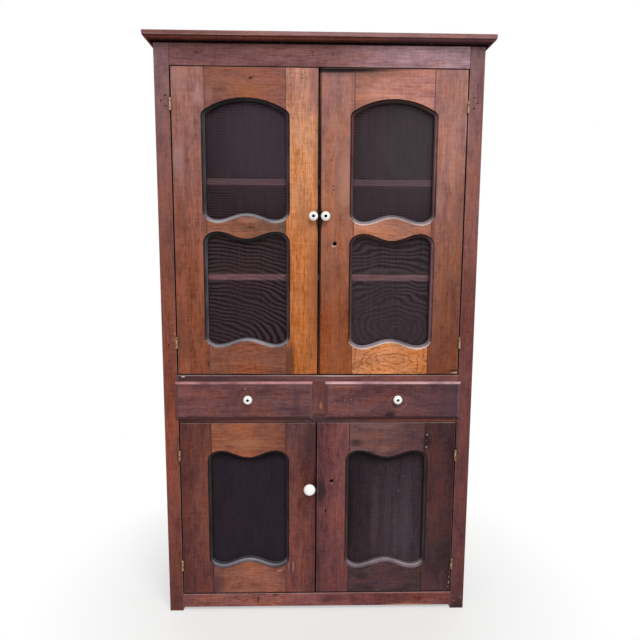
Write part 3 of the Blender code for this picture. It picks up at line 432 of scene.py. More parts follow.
# Painted highlight, over wear, along the upper edge of the rail under the upper doors, with lighter marks
# along it, and painted shade on its flat faces
stain("upper_floor", "X", [(-0.5, "#422a2f"), (-0.2, "#5a3d40"), (0.0, "#6a4749"), (0.25, "#7c504c"),
      (0.5, "#7a4f49")], raw=FLOOR_BARE, top=("#a8928f", 0.7, 0.9062), ledge=DIRT_AND_SHADE, spots=[
      (-0.484, 0.904, 0.009, 0.0035, "#d6c6be", 0.85), (0.07, 0.9075, 0.12, 0.004, "#d0c0ba", 0.8)])
stain("drawer_floor", "X", [(-0.5, "#472825"), (-0.25, "#633935"), (0.0, "#4c3739"), (0.25, "#6a3f36"),
      (0.5, "#704337")], raw=FLOOR_BARE, arris=RAIL_ENDS)
stain("drawer_divider", "Z", [(0.755, "#6b4644"), (0.88, "#6c4340")], raw=FLOOR_BARE, spots=[
      (0.0084, 0.797, 0.006, 0.016, "#b07450", 0.7), (0.0, 0.758, 0.03, 0.012, DIRT_AND_SHADE, 0.5)])
# Painted highlight, over wear, along the upper edge, and painted shade on its flat faces
stain("bottom_board", "X", [(-0.5, "#7c4e4a"), (-0.15, "#8d5a52"), (0.0, "#7d4c4d"), (0.25, "#6b3e3d"),
      (0.5, "#784844")],
      raw=FRAME_BARE, contrast=1.5, wear=0.6, top=("#a88078", 0.6, 0.064), ledge=DIRT_AND_SHADE, spots=[
      (-0.225, 0.042, 0.006, 0.018, DIRT_AND_SHADE, 0.75), (-0.16, 0.062, 0.02, 0.006, "#2c2228", 0.8),
      (-0.42, 0.03, 0.05, 0.006, "#5c3834", 0.6), (0.34, 0.055, 0.03, 0.01, "#5a3030", 0.6),
      (0.34, 0.018, 0.11, 0.005, "#b07c58", 0.7), (0.055, 0.045, 0.06, 0.024, "#4a2a2c", 0.6)])
stain("low_shelf", "X", [(-0.5, "#b88587"), (0.5, "#ac8084")], raw=SHELF_BARE)
stain("high_shelf", "X", [(-0.5, "#85656a"), (0.5, "#85656a")], raw=SHELF_BARE)
stain("upper_left_hinge_stile", "Z", [(0.91, "#834b36"), (1.3, "#864f3c"), (1.55, "#8c5c52"),
      (1.96, "#9d7069")], contrast=1.2, spots=[
      (-0.392, 0.95, 0.004, 0.018, "#2c1816", 0.8), (-0.485, 1.92, 0.03, 0.06, "#b08078", 0.5),
      (-0.478, 1.47, 0.03, 0.1, "#6c3e33", 0.5), (-0.402, 1.29, 0.024, 0.15, "#a4664e", 0.5),
      (-0.485, 1.06, 0.024, 0.11, "#66392f", 0.55), (-0.483, 1.66, 0.03, 0.07, "#b08a86", 0.4),
      (-0.408, 1.872, 0.022, 0.045, "#b88a86", 0.5)])
# Painted shade on the eased edge along the meeting gap
stain("upper_left_meeting_stile", "Z", [(0.91, "#ac6637"), (1.3, "#c0774a"), (1.7, "#d4966f"),
      (1.96, "#b78273")], contrast=1.2, wear=0.35, arris=(JOINT, WORN, DIRT_AND_SHADE), spots=[
      (-0.01, 1.64, 0.02, 0.25, "#8f5a42", 0.6), (-0.105, 0.95, 0.024, 0.12, "#5a3428", 0.85),
      (-0.015, 1.9, 0.03, 0.12, "#8a5f5c", 0.7), (-0.004, 1.462, 0.01, 0.055, DIRT_AND_SHADE, 0.95),
      (-0.008, 1.2, 0.018, 0.3, "#6c4230", 0.65), (-0.003, 1.68, 0.008, 0.3, "#6a4434", 0.6),
      (-0.024, 1.2, 0.026, 0.32, "#86502f", 0.5), (-0.055, 1.46, 0.04, 0.08, "#9a6242", 0.5),
      (-0.085, 1.53, 0.022, 0.06, "#e0a070", 0.4)])
stain("upper_left_top_rail", "X", [(-0.39, "#7f544d"), (-0.25, "#945e4c"), (-0.11, "#8a5a54")], spots=[
      (-0.375, 1.872, 0.022, 0.035, "#a87468", 0.5), (-0.235, 1.893, 0.085, 0.032, "#a0643f", 0.35),
      (-0.2327, 1.9282, 0.01, 0.007, "#241616", 0.9)])
stain("upper_left_middle_rail", "X", [(-0.39, "#926252"), (-0.25, "#8a5a46"), (-0.11, "#634b45")],
      contrast=1.3, spots=[
      (-0.24, 1.457, 0.055, 0.013, "#b07c66", 0.5), (-0.2441, 1.43, 0.055, 0.02, "#5c3e30", 0.4),
      (-0.24, 1.432, 0.02, 0.006, "#3a241d", 0.6)])
stain("upper_left_bottom_rail", "X", [(-0.39, "#7d4f40"), (-0.25, "#89523c"), (-0.11, "#7f5141")],
      contrast=1.3, spots=[
      (-0.235, 1.02, 0.03, 0.006, "#5a3428", 0.7), (-0.25, 0.998, 0.025, 0.006, "#5a3428", 0.6)])
stain("upper_right_hinge_stile", "Z", [(0.91, "#7a4430"), (1.3, "#865747"), (1.7, "#a6766c"),
      (1.96, "#a47771")], spots=[
      (0.485, 1.5, 0.028, 0.18, "#744a40", 0.45), (0.487, 1.08, 0.024, 0.14, "#5a342c", 0.35),
      (0.405, 0.95, 0.022, 0.055, "#6a3c2e", 0.6), (0.415, 1.53, 0.024, 0.07, "#ac7c70", 0.5),
      # Painted highlight down the gap right of the door, where the lit edge shows (first mark below)
      (0.4995, 1.83, 0.004, 0.15, "#c8a098", 0.8), (0.488, 0.925, 0.026, 0.006, "#241210", 0.95),
      (0.499, 0.9185, 0.028, 0.006, "#b08474", 0.95)])
# Painted shade on the eased edge along the meeting gap, in a long thin line down that gap, and in the gap
# over the door
stain("upper_right_meeting_stile", "Z", [(0.91, "#915333"), (1.1, "#884c32"), (1.5, "#9f6a55"),
      (1.96, "#a2736c")], arris=(DIRT_AND_SHADE, WORN, JOINT), spots=[
      (0.06, 1.946, 0.1, 0.018, "#70504c", 0.6), *LOW_CORNER_SHADE, (0.085, 1.6, 0.03, 0.14, "#b58270", 0.6),
      (0.05, 1.369, 0.012, 0.005, "#c4a294", 0.75), (0.003, 1.462, 0.01, 0.06, DIRT_AND_SHADE, 0.95),
      (0.002, 1.45, 0.005, 0.8, DIRT_AND_SHADE, 1.0)])
# Painted shade in the gap over the door
stain("upper_right_top_rail", "X", [(0.11, "#a57061"), (0.25, "#c68a7a"), (0.39, "#b78178")], spots=[
      (0.18, 1.947, 0.18, 0.018, "#70504a", 0.6), *LOW_CORNER_SHADE])
stain("upper_right_middle_rail", "X", [(0.11, "#b88068"), (0.25, "#b07963"), (0.39, "#a37266")],
      figure=(0.12, 1.33, 10.0, 0.35))
stain("upper_right_bottom_rail", "X", [(0.11, "#c0805c"), (0.25, "#d68e62"), (0.39, "#bd7a51")],
      wear=0.4, figure=(0.272, 0.96, 15.0, 0.65))
stain("lower_left_hinge_stile", "Z", [(0.07, "#613b39"), (0.4, "#73453c"), (0.73, "#663e39")],
      cross=[(-0.5, "#cfc4cc"), (-0.45, "#f4eeee"), (-0.39, "#fffaf4")], top=LEFT_TOP_HIGHLIGHT)
# Painted shade on the eased edge along the meeting gap
stain("lower_left_meeting_stile", "Z", [(0.07, "#6f4543"), (0.3, "#7b4c46"), (0.55, "#663d39"),
      (0.73, "#664545")],
      cross=[(-0.12, "#fffaf4"), (-0.06, "#f8f2f0"), (-0.01, "#c4bac2")], arris=(SOFT_JOINT, WORN, DIRT_AND_SHADE),
      top=LEFT_TOP_HIGHLIGHT, spots=[
      (-0.03, 0.66, 0.03, 0.08, "#3a2628", 0.6), (-0.012, 0.5, 0.012, 0.06, DIRT_AND_SHADE, 0.7),
      (-0.092, 0.174, 0.004, 0.032, "#ac7864", 0.7), (-0.1, 0.168, 0.004, 0.03, "#4a2c28", 0.7),
      (-0.108, 0.176, 0.003, 0.02, "#9a7466", 0.6)])
stain("lower_left_top_rail", "X", [(-0.39, "#895643"), (-0.25, "#8e5844"), (-0.11, "#6f463e")],
      arris=(JOINT, WORN, SOFT_JOINT), top=LEFT_TOP_HIGHLIGHT, spots=[
      (-0.27, 0.655, 0.1, 0.02, "#a2694c", 0.6)])
stain("lower_left_bottom_rail", "X", [(-0.39, "#6e4643"), (-0.25, "#955f4c"), (-0.11, "#7c4d45")],
      arris=(JOINT, WORN, SOFT_JOINT), spots=[
      (-0.37, 0.11, 0.03, 0.05, "#4a3034", 0.6), (-0.143, 0.158, 0.012, 0.004, "#b8836e", 0.8),
      (-0.126, 0.154, 0.005, 0.012, "#4e2c28", 0.7)])
stain("lower_right_hinge_stile", "Z", [(0.07, "#503539"), (0.25, "#3e2d31"), (0.4, "#533334"),
      (0.73, "#472f31")],
      cross=[(0.39, "#fff6f0"), (0.44, "#f4eeee"), (0.5, "#cfc4cc")], top=RIGHT_TOP_HIGHLIGHT, spots=[
      (0.401, 0.663, 0.018, 0.04, "#1c1416", 0.75), (0.3945, 0.664, 0.002, 0.003, "#8a7a80", 0.7),
      (0.4075, 0.675, 0.002, 0.003, "#75636c", 0.6), (0.4125, 0.6435, 0.003, 0.003, "#75636c", 0.7),
      (0.4965, 0.105, 0.0016, 0.007, "#b8a8a0", 0.8), (0.494, 0.088, 0.002, 0.002, "#b8a8a0", 0.7),
      (0.4975, 0.128, 0.0014, 0.004, "#b8a8a0", 0.7), (0.47, 0.15, 0.002, 0.002, "#a08c88", 0.5)])
stain("lower_right_meeting_stile", "Z", [(0.07, "#664043"), (0.4, "#784a4a"), (0.73, "#774b4b")],
      cross=[(0.0, "#cfc4cc"), (0.05, "#f4eeee"), (0.11, "#fff8f2")], arris=("#8a7a7a", WORN, JOINT),
      top=RIGHT_TOP_HIGHLIGHT, spots=[
      (0.01, 0.47, 0.022, 0.07, "#2a1e22", 0.85), (0.0495, 0.5025, 0.007, 0.004, "#8d7a7c", 0.8)])
stain("lower_right_top_rail", "X", [(0.11, "#674b4c"), (0.25, "#674746"), (0.39, "#51383c")],
      wear=0.8, top=RIGHT_TOP_HIGHLIGHT, spots=[
      (0.226, 0.718, 0.09, 0.012, "#8a625e", 0.5), (0.14, 0.655, 0.03, 0.02, "#33272b", 0.8),
      (0.245, 0.635, 0.02, 0.02, "#8a5c4c", 0.6)])
stain("lower_right_bottom_rail", "X", [(0.11, "#48353a"), (0.25, "#4f363a"), (0.39, "#403034")],
      wear=0.8, spots=[
      (0.165, 0.135, 0.025, 0.02, "#2c2226", 0.8), (0.155, 0.095, 0.03, 0.016, "#30262a", 0.7)])
# Drawer fronts: a painted highlight on the upper edge, lighter on the right drawer, and painted light and
# shade on the eased edges
stain("left_drawer_front", "X", [(-0.5, "#714848"), (-0.25, "#684343"), (-0.03, "#664748")],
      arris=LEFT_DRAWER_LIT_EDGES, wear=0.6, contrast=1.25, top=("#c48c8e", 0.95, 0.8785), spots=[
      (-0.08, 0.815, 0.02, 0.05, "#443038", 0.5), (-0.2525, 0.835, 0.03, 0.03, "#7a4a3c", 0.5),
      (-0.263, 0.862, 0.0025, 0.007, "#b98068", 0.8), (-0.237, 0.86, 0.004, 0.003, "#a0664a", 0.7),
      (-0.27, 0.847, 0.003, 0.003, "#96583e", 0.7), (-0.232, 0.848, 0.003, 0.004, "#a0603f", 0.8),
      (-0.244, 0.852, 0.005, 0.002, "#96583e", 0.7), (-0.256, 0.85, 0.003, 0.003, "#96583e", 0.6)])
stain("right_drawer_front", "X", [(0.03, "#704949"), (0.25, "#644142"), (0.5, "#563c42")],
      arris=RIGHT_DRAWER_LIT_EDGES, wear=0.6, contrast=1.3, top=("#d8aaae", 0.95, 0.8785), spots=[
      (0.287, 0.813, 0.032, 0.031, "#94604f", 0.45, "outline"),
      (0.256, 0.768, 0.026, 0.016, "#241a1c", 0.85), (0.09, 0.87, 0.06, 0.01, "#8f5c4c", 0.6),
      (0.093, 0.82, 0.003, 0.003, "#b07c66", 0.7), (0.117, 0.822, 0.003, 0.003, "#b07c66", 0.7),
      (0.06, 0.81, 0.004, 0.003, "#a87058", 0.6), (0.47, 0.81, 0.05, 0.07, "#4a363e", 0.5)])
# Painted shadow along the top of the panel, under the moulding
stain("lower_left_panel", "Z", [(0.1, "#292128"), (0.7, "#292128")],
      contrast=0.5, wear=0.2, rough=0.6, shine=0.05, spots=[
      (-0.255, 0.62, 0.2, 0.05, "#0c0a0b", 0.9)])
# Painted shadow along the top of the panel, and painted shade down its sides, most on the left
stain("lower_right_panel", "Z", [(0.1, "#42363c"), (0.7, "#372c32")],
      cross=[(0.1, "#b8b0b4"), (0.2, "#dcd8da"), (0.33, "#ffffff"), (0.4, "#f0ecee")], wear=0.2,
      contrast=1.3, rough=0.6, shine=0.05, spots=[
      (0.25, 0.62, 0.2, 0.06, "#0e0b0c", 0.9), (0.112, 0.4, 0.03, 0.25, "#181214", 0.7),
      (0.215, 0.36, 0.02, 0.2, "#52464c", 0.35), (0.262, 0.33, 0.022, 0.24, "#4f434a", 0.35),
      (0.325, 0.34, 0.035, 0.22, "#4c4148", 0.4), (0.292, 0.3, 0.012, 0.16, "#584c52", 0.3),
      (0.318, 0.52, 0.009, 0.003, "#6d6167", 0.5), (0.3, 0.462, 0.003, 0.006, "#6d6167", 0.5)])

BACK_PLANK = 0.222
KNOT = "#2c1c14"
# Slow stains of bare boards, and the finer lines of their growth rings, as width in mm, run and detail
STAIN = (150.0, 1.8, 5.0)
RING = (16.0, 26.0, 4.0)
SAWN = (3.2, 60.0, 2.0)
SAWN_DEPTH = 0.6 * MM
# Each back board takes its noise from another height, and the seams between them are dark over this width
BOARD_SHIFT = 31.0
SEAM_DARK, SEAM_CLEAR = 1 * MM, 4 * MM


def bare_pine(name, grain, planks=None, spots=(), seed=0.0):
    """Pine left bare inside and behind, browned by age: rings and fine lines along the grain, slow stains.

    planks is the width of one board, where each has its own tint.
    """
    finish, tree, shader, place = new_finish(name)
    across, deep, high = add(tree, "SeparateXYZ", {0: place}, out=None)
    source = place
    if planks:
        number = add(tree, "Math", {0: across, 1: planks / 2})
        number = add(tree, "Math", {0: number, 1: planks}, operation="SNAP")
        shifted = add(tree, "Math", {0: number, 1: BOARD_SHIFT, 2: high}, operation="MULTIPLY_ADD")
        source = add(tree, "CombineXYZ", {0: across, 1: deep, 2: shifted})
    slow, ring, sawn = [grain_noise(tree, source, grain, layer, seed) for layer in (STAIN, RING, SAWN)]
    level = -0.55
    for noise, strength in ((slow, 0.9), (ring, 0.9), (sawn, 0.35)):
        level = add(tree, "Math", {0: noise, 1: strength, 2: level}, operation="MULTIPLY_ADD")
    wood = add(tree, "ValToRGB", {0: level}, stops=[(0.3, "#4a3226"), (0.55, "#6e5140"), (0.8, "#8b6c52")])
    if planks:
        tint = add(tree, "TexWhiteNoise", {"W": number}, noise_dimensions="1D")
        tint = add(tree, "MapRange", {0: tint, 3: 0.7, 4: 1.25})
        seam = add(tree, "Math", {0: across, 1: planks / 2})
        seam = add(tree, "Math", {0: seam, 1: planks / 2}, operation="PINGPONG")
        seam = add(tree, "MapRange", {0: seam, 1: SEAM_DARK, 2: SEAM_CLEAR, 3: 0.25, 4: 1.0})
        tint = add(tree, "Math", {0: tint, 1: seam}, operation="MULTIPLY")
        wood = add(tree, "HueSaturation", {"Color": wood, "Value": tint})
    if spots:
        wood = lay_spots(tree, place, wood, spots)
    dull = add(tree, "MapRange", {0: ring, **NOISE_RANGE, 3: 0.85, 4: 0.65})
    surface(tree, shader, wood, dull, level, 0.4, SAWN_DEPTH)
    shader.inputs["Specular IOR Level"].default_value = 0.2
    return finish


BACK_KNOTS = [(x, z, wide, high, KNOT, 0.85) for x, z, wide, high in (
    (-0.47, 1.72, 0.016, 0.024), (-0.40, 0.62, 0.012, 0.018), (-0.21, 1.13, 0.018, 0.026),
    (-0.26, 0.31, 0.010, 0.015), (0.03, 1.86, 0.013, 0.020), (-0.04, 0.83, 0.016, 0.022),
    (0.19, 1.41, 0.017, 0.026), (0.25, 0.47, 0.012, 0.018), (0.42, 1.05, 0.015, 0.022),
    (0.49, 1.63, 0.011, 0.016), (0.40, 0.22, 0.014, 0.020))]
dress("back", bare_pine("bare back boards", "Z", BACK_PLANK, BACK_KNOTS, 41.0))
for box_name in ("left_drawer_box", "right_drawer_box"):
    dress(box_name, bare_pine(box_name.replace("_", " ") + " bare pine", "X", None, (), 42.0))


def mottled(name, patch, detail, stops, rough, relief, constants):
    """A finish in which one noise, in patches of so many millimetres, sets colour, roughness and relief."""
    finish, tree, shader, place = new_finish(name)
    noise = add(tree, "TexNoise", {"Vector": place, "Scale": 1 / (patch * MM), "Detail": detail})
    colour = add(tree, "ValToRGB", {0: noise}, stops=stops)
    dull = add(tree, "MapRange", {0: noise, **NOISE_RANGE, 3: rough[0], 4: rough[1]})
    surface(tree, shader, colour, dull, noise, relief, 0.2 * MM)
    for socket, value in constants.items():
        shader.inputs[socket].default_value = value
    return finish


# Old yellow brass: dull brown in the hollows, rubbed bright on the barrels
BRASS = mottled("rubbed yellow brass", 9.0, 4.0, [(0.35, "#564530"), (0.62, "#b59d78")], (0.55, 0.3), 0.3,
                {"Metallic": 1.0})
# White glazed porcelain: clean white under a clear gloss, faintly clouded and yellowed
PORCELAIN = mottled("glazed white porcelain", 14.0, 3.0, [(0.3, "#faf7f1"), (0.6, "#ffffff")], (0.22, 0.1),
                    0.1, {"IOR": 1.5})
# Iron of old screw and nail heads: brown-black with rust in spots, and dull
IRON = mottled("dark iron", 3.0, 3.0, [(0.4, "#120808"), (0.7, "#26130f")], (0.45, 0.75), 0.4,
               {"Metallic": 0.1, "Specular IOR Level": 0.15})
# Steel of newer nail heads: bare and bright
STEEL = mottled("bright nail steel", 3.0, 3.0, [(0.4, "#a8989c"), (0.7, "#ece2e4")], (0.45, 0.75), 0.4,
                {"Metallic": 0.2, "Specular IOR Level": 0.5})
for node in nodes:
    if node.endswith("_leaf"):
        dress(node, BRASS)


def select(*things):
    """Selects these objects alone, the first as the active one."""
    bpy.ops.object.select_all(action="DESELECT")
    for thing in things:
        thing.select_set(True)
    if things:
        bpy.context.view_layer.objects.active = things[0]


FORWARD, BACKWARD, RIGHTWARD = (0.0, -1.0, 0.0), (0.0, 1.0, 0.0), (1.0, 0.0, 0.0)
SMOOTH_BELOW = math.radians(38)
KNOB_SIDES, SCREW_SIDES, NAIL_SIDES, TACK_SIDES, FLAT_SIDES, WIRE_SIDES = 40, 20, 12, 10, 14, 5
# A screw head has an upright edge and a slope to its flat top. The box that cuts its slot is centred on that
# top, and its length and width are shares of the head's radius
HEAD_EDGE, HEAD_HEIGHT, HEAD_TOP = 0.5 * MM, 0.8 * MM, 0.8
SLOT_LENGTH, SLOT_BOX, SLOT_WIDTH, SLOT_TURN = 3, 0.9 * MM, 0.28, math.radians(25)


def turned(name, foot, profile, sides, finish, way=FORWARD):
    """A turned piece that stands out along way: a disc at its foot, drawn out by (distance, radius)."""
    select()
    turn = (0.0, math.pi / 2, 0.0) if way[0] else (math.pi / 2, 0.0, 0.0)
    bpy.ops.mesh.primitive_circle_add(vertices=sides, radius=profile[0][1], fill_type="NGON", location=foot,
                                      rotation=turn)
    piece = bpy.context.object
    piece.name = name
    bpy.ops.object.transform_apply(location=True, rotation=True, scale=True)
    bpy.ops.object.mode_set(mode="EDIT")
    bpy.ops.mesh.select_all(action="SELECT")
    for (near, radius), (far, next_radius) in zip(profile, profile[1:]):
        step = [part * (far - near) for part in way]
        bpy.ops.mesh.extrude_region_move(TRANSFORM_OT_translate={"value": step})
        share = next_radius / radius
        centre = [part + far * ahead for part, ahead in zip(foot, way)]
        bpy.ops.transform.resize(value=[1.0 if ahead else share for ahead in way], center_override=centre)
    bpy.ops.mesh.select_all(action="SELECT")
    bpy.ops.mesh.normals_make_consistent(inside=False)
    bpy.ops.object.mode_set(mode="OBJECT")
    bpy.ops.object.shade_smooth_by_angle(angle=SMOOTH_BELOW)
    piece.data.materials.append(finish)
    return piece


def set_copies(name, model, places, body):
    """Copies of a model, each at its (place, size, turn), joined into one piece that rides on a body."""
    copies = []
    for place, size, turn in places:
        select(model)
        bpy.ops.object.duplicate()
        copy = bpy.context.object
        copy.location = place
        copy.scale = (size, size, size)
        copy.rotation_euler = (0.0, 0.0, turn)
        copies.append(copy)
    select(*copies)
    bpy.ops.object.transform_apply(location=True, rotation=True, scale=True)
    bpy.ops.object.join()
    copies[0].name = name
    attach(copies[0], body)


def knob_profile(radius, length, hole):
    """Foot, waist and round head of a knob, ending in the hole for its screw where it has one."""
    rows = [(0.0, 0.60), (0.10, 0.60), (0.13, 0.52), (0.24, 0.44), (0.34, 0.50), (0.40, 0.72), (0.47, 0.89),
            (0.56, 0.98), (0.65, 1.0), (0.74, 0.97), (0.84, 0.87), (0.92, 0.70), (0.97, 0.52)]
    rows += [(0.985, 0.42), (0.98, 0.36), (0.76, 0.33)] if hole else [(0.992, 0.32), (1.0, 0.10)]
    return [(far * length, share * radius) for far, share in rows]


def screw_head(name, centre, radius, finish):
    """A round screw head with a slot, facing the front."""
    profile = [(0.0, radius), (HEAD_EDGE, radius), (HEAD_HEIGHT, HEAD_TOP * radius)]
    piece = turned(name, centre, profile, SCREW_SIDES, finish)
    select()
    bpy.ops.mesh.primitive_cube_add(size=1.0, location=(centre[0], centre[1] - HEAD_HEIGHT, centre[2]),
                                    rotation=(0.0, SLOT_TURN, 0.0),
                                    scale=(SLOT_LENGTH * radius, SLOT_BOX, SLOT_WIDTH * radius))
    cutter = bpy.context.object
    select(piece)
    cut = piece.modifiers.new("slot", "BOOLEAN")
    cut.operation = "DIFFERENCE"
    cut.object = cutter
    bpy.ops.object.modifier_apply(modifier=cut.name)
    bpy.data.objects.remove(cutter)
    return piece


# The body that carries each knob, and whether the knob has a screw in its head
KNOBS = {
    "upper_left_knob": ("upper_left_door", True),
    "upper_right_knob": ("upper_right_door", True),
    "left_drawer_knob": ("left_drawer", True),
    "right_drawer_knob": ("right_drawer", True),
    "lower_left_knob": ("lower_left_door", False),
}
# The screw lies just clear of the bottom of its hole
SCREW_FAR, SCREW_SHARE = 0.77, 0.31
for node, (body, hole) in KNOBS.items():
    low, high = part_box(node)
    middle = (low + high) / 2
    radius, length = (high.x - low.x) / 2, high.y - low.y
    piece = turned(node.replace("knob", "porcelain_knob"), (middle.x, high.y, middle.z),
                   knob_profile(radius, length, hole), KNOB_SIDES, PORCELAIN)
    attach(piece, body)
    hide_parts(node)
    if hole:
        centre = (middle.x, high.y - SCREW_FAR * length, middle.z)
        screw = screw_head(node.replace("knob", "knob_screw"), centre, SCREW_SHARE * radius, IRON)
        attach(screw, body)


# Wire cloth in dark paint: 18 cross wires to the inch, and finer uprights set closer
CROSS_PITCH, CROSS_WIDTH = 1.411 * MM, 0.37 * MM
UPRIGHT_PITCH, UPRIGHT_WIDTH = 0.985 * MM, 0.26 * MM
LOW_OPENING_TOP = 1.43
LINE_STEP, LINE_PATCH, LUMP, LUMP_DEPTH = 9 * MM, 110 * MM, 1.5 * MM, 0.1 * MM
# Above the calm height the lines gain strength over this rise
GAIN_RISE = 0.15


def painted_wire(name, centre, stretch, spacing, waver, calm, tones, painted_sheen):
    """Dark painted iron wire, watered where the fine mesh beats against itself.

    The low opening shows rings and the high one faint lines, drawn 9 to 17 mm apart, so that they show.
    """
    finish, tree, shader, place = new_finish(name)
    ringed = add(tree, "Mapping", {"Vector": place, "Location": (-centre[0] / stretch, 0.0, -centre[1]),
                                   "Scale": (1 / stretch, 0.0, 1.0)})
    rings = add(tree, "TexWave", {"Vector": ringed, "Scale": WAVE_RUN / (spacing * MM), "Distortion": waver,
                                  "Detail": 1.0, "Detail Scale": 0.65},
                out="Fac", wave_type="RINGS", rings_direction="Y")
    lines = add(tree, "TexWave", {"Vector": place, "Scale": WAVE_RUN / LINE_STEP, "Distortion": 3.0,
                                  "Detail": 2.0, "Detail Scale": 0.5}, out="Fac", bands_direction="Z")
    height = add(tree, "SeparateXYZ", {0: place}, out="Z")
    low = add(tree, "Math", {0: height, 1: LOW_OPENING_TOP}, operation="LESS_THAN")
    watered = add(tree, "Mix", {0: low, 2: lines, 3: rings})
    patch = add(tree, "TexNoise", {"Vector": place, "Scale": 1 / LINE_PATCH, "Detail": 2.0})
    fade = add(tree, "MapRange", {0: patch, 1: 0.38, 2: 0.58, 3: 0.55, 4: 1.0})
    rise = add(tree, "MapRange", {0: height, 1: calm, 2: calm + GAIN_RISE, 3: 0.35, 4: 1.0})
    fade = add(tree, "Math", {0: fade, 1: rise}, operation="MULTIPLY")
    watered = add(tree, "Mix", {0: fade, 2: 0.5, 3: watered})
    colour = add(tree, "ValToRGB", {0: watered}, stops=list(zip((0.1, 0.9), tones)))
    # Painted sheen, as of light on the wire
    colour = lay_spots(tree, place, colour, painted_sheen)
    dull = add(tree, "MapRange", {0: watered, 3: 0.65, 4: 0.5})
    lumps = add(tree, "TexNoise", {"Vector": place, "Scale": 1 / LUMP, "Detail": 2.0})
    surface(tree, shader, colour, dull, lumps, 0.3, LUMP_DEPTH)
    shader.inputs["Specular IOR Level"].default_value = 0.1
    return finish


def wire_set(centre, length, width, turn, count, step):
    """One direction of the cloth: a wire and its row of copies."""
    select()
    bpy.ops.mesh.primitive_cylinder_add(vertices=WIRE_SIDES, radius=width / 2, depth=length, location=centre,
                                        rotation=(0.0, turn, 0.0))
    wires = bpy.context.object
    bpy.ops.object.transform_apply(location=True, rotation=True, scale=True)
    row = wires.modifiers.new("row", "ARRAY")
    row.use_relative_offset = False
    row.use_constant_offset = True
    row.constant_offset_displace = step
    row.count = count
    bpy.ops.object.modifier_apply(modifier=row.name)
    return wires


def wire_cloth(name, node, finish):
    """Wire cloth in the pocket of a door: upright wires behind, cross wires in front."""
    low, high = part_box(node)
    middle = (low + high) / 2
    wide, tall = high.x - low.x, high.z - low.z
    uprights = int(wide / UPRIGHT_PITCH)
    crossing = int(tall / CROSS_PITCH)
    first_x = middle.x - (uprights - 1) * UPRIGHT_PITCH / 2
    first_z = middle.z - (crossing - 1) * CROSS_PITCH / 2
    cloth = wire_set((first_x, middle.y + UPRIGHT_WIDTH / 2, middle.z), tall, UPRIGHT_WIDTH, 0.0, uprights,
                     (UPRIGHT_PITCH, 0.0, 0.0))
    cross_wires = wire_set((middle.x, middle.y - CROSS_WIDTH / 2, first_z), wide, CROSS_WIDTH, math.pi / 2,
                           crossing, (0.0, 0.0, CROSS_PITCH))
    select(cloth, cross_wires)
    bpy.ops.object.join()
    cloth.name = name
    cloth.data.materials.append(finish)
    return cloth


# By side: the middle of the rings, how far they are drawn out across, their spacing in mm, their waver, the
# height below which they are faint, the tones of the wire, and its painted sheen as marks for lay_spots
SCREENS = {
    "left": ((-0.41, 0.985), 1.7, 14.0, 8.0, 0.8, ("#332429", "#6a575f"),
             [(-0.18, 1.74, 0.24, 0.26, "#756476", 0.6)]),
    "right": ((0.275, 1.07), 1.5, 17.0, 15.0, 1.1, ("#483b44", "#73636c"),
              [(0.33, 1.70, 0.22, 0.22, "#796e76", 0.6)]),
}
for side, settings in SCREENS.items():
    node = f"upper_{side}_screen"
    finish = painted_wire(f"dark painted wire {side}", *settings)
    cloth = wire_cloth(f"upper_{side}_wire_cloth", node, finish)
    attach(cloth, f"upper_{side}_door")
    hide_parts(node)


# Fasteners: each model is a millimetre in radius and is sized as it is copied, to these radii in millimetres
BRIGHT_NAIL, BACK_NAIL, TACK, HINGE_SCREW = 2.4, 2.6, 2.0, 2.4
ORIGIN = (0.0, 0.0, 0.0)
NAIL_HEAD = [(0.0, 1.0 * MM), (0.06 * MM, 0.95 * MM), (0.12 * MM, 0.55 * MM)]
FLAT_HEAD = [(-0.1 * MM, 1.0 * MM), (0.06 * MM, 1.0 * MM), (0.08 * MM, 0.9 * MM)]
HALF_TURN = math.pi
front_nail = turned("front_nail", ORIGIN, NAIL_HEAD, NAIL_SIDES, IRON)
back_nail = turned("back_nail", ORIGIN, NAIL_HEAD, TACK_SIDES, IRON, BACKWARD)
bright_nail = turned("bright_nail", ORIGIN, NAIL_HEAD, NAIL_SIDES, STEEL)
hinge_screw = turned("hinge_screw", ORIGIN, FLAT_HEAD, FLAT_SIDES, BRASS, RIGHTWARD)

# Old nails and screws left in the front, as (x, z, radius in mm) by the body that carries them
NAILS = {
    "case": [(-0.5190, 1.8675, 3.0), (-0.5341, 1.8512, 3.0), (-0.5199, 1.8342, 3.0), (0.5229, 1.8712, 3.0),
             (0.5353, 1.8531, 3.0), (0.5223, 1.8359, 3.0), (-0.0252, 2.0121, 2.2), (-0.0242, 2.0013, 2.2),
             (0.0410, 2.0060, 2.2), (0.5397, 2.0312, 2.2), (0.5461, 2.0239, 2.2), (0.5337, 1.0657, 2.4),
             (0.5204, 1.0385, 2.2), (0.5355, 1.0203, 2.6), (0.5189, 1.0020, 2.4), (-0.5323, 1.0192, 2.6),
             (-0.5180, 1.0892, 2.2), (-0.5187, 1.0012, 2.2)],
    "upper_left_door": [(-0.0612, 1.9383, 2.4), (-0.0612, 1.9286, 2.4)],
    "upper_right_door": [(0.0395, 1.6614, 2.2), (0.0461, 1.5742, 2.4), (0.0462, 1.5607, 2.4)],
    "lower_right_door": [(0.399, 0.673, 1.8), (0.406, 0.666, 1.6), (0.401, 0.652, 1.6), (0.409, 0.644, 1.8)],
}
for body, places in NAILS.items():
    set_copies(f"{body}_nails", front_nail, [((x, FACE, z), size, 0.0) for x, z, size in places], body)
set_copies("lower_right_door_bright_nails", bright_nail,
           [((x, FACE, z), BRIGHT_NAIL, 0.0) for x, z in ((0.398, 0.6863), (0.3964, 0.6402))],
           "lower_right_door")

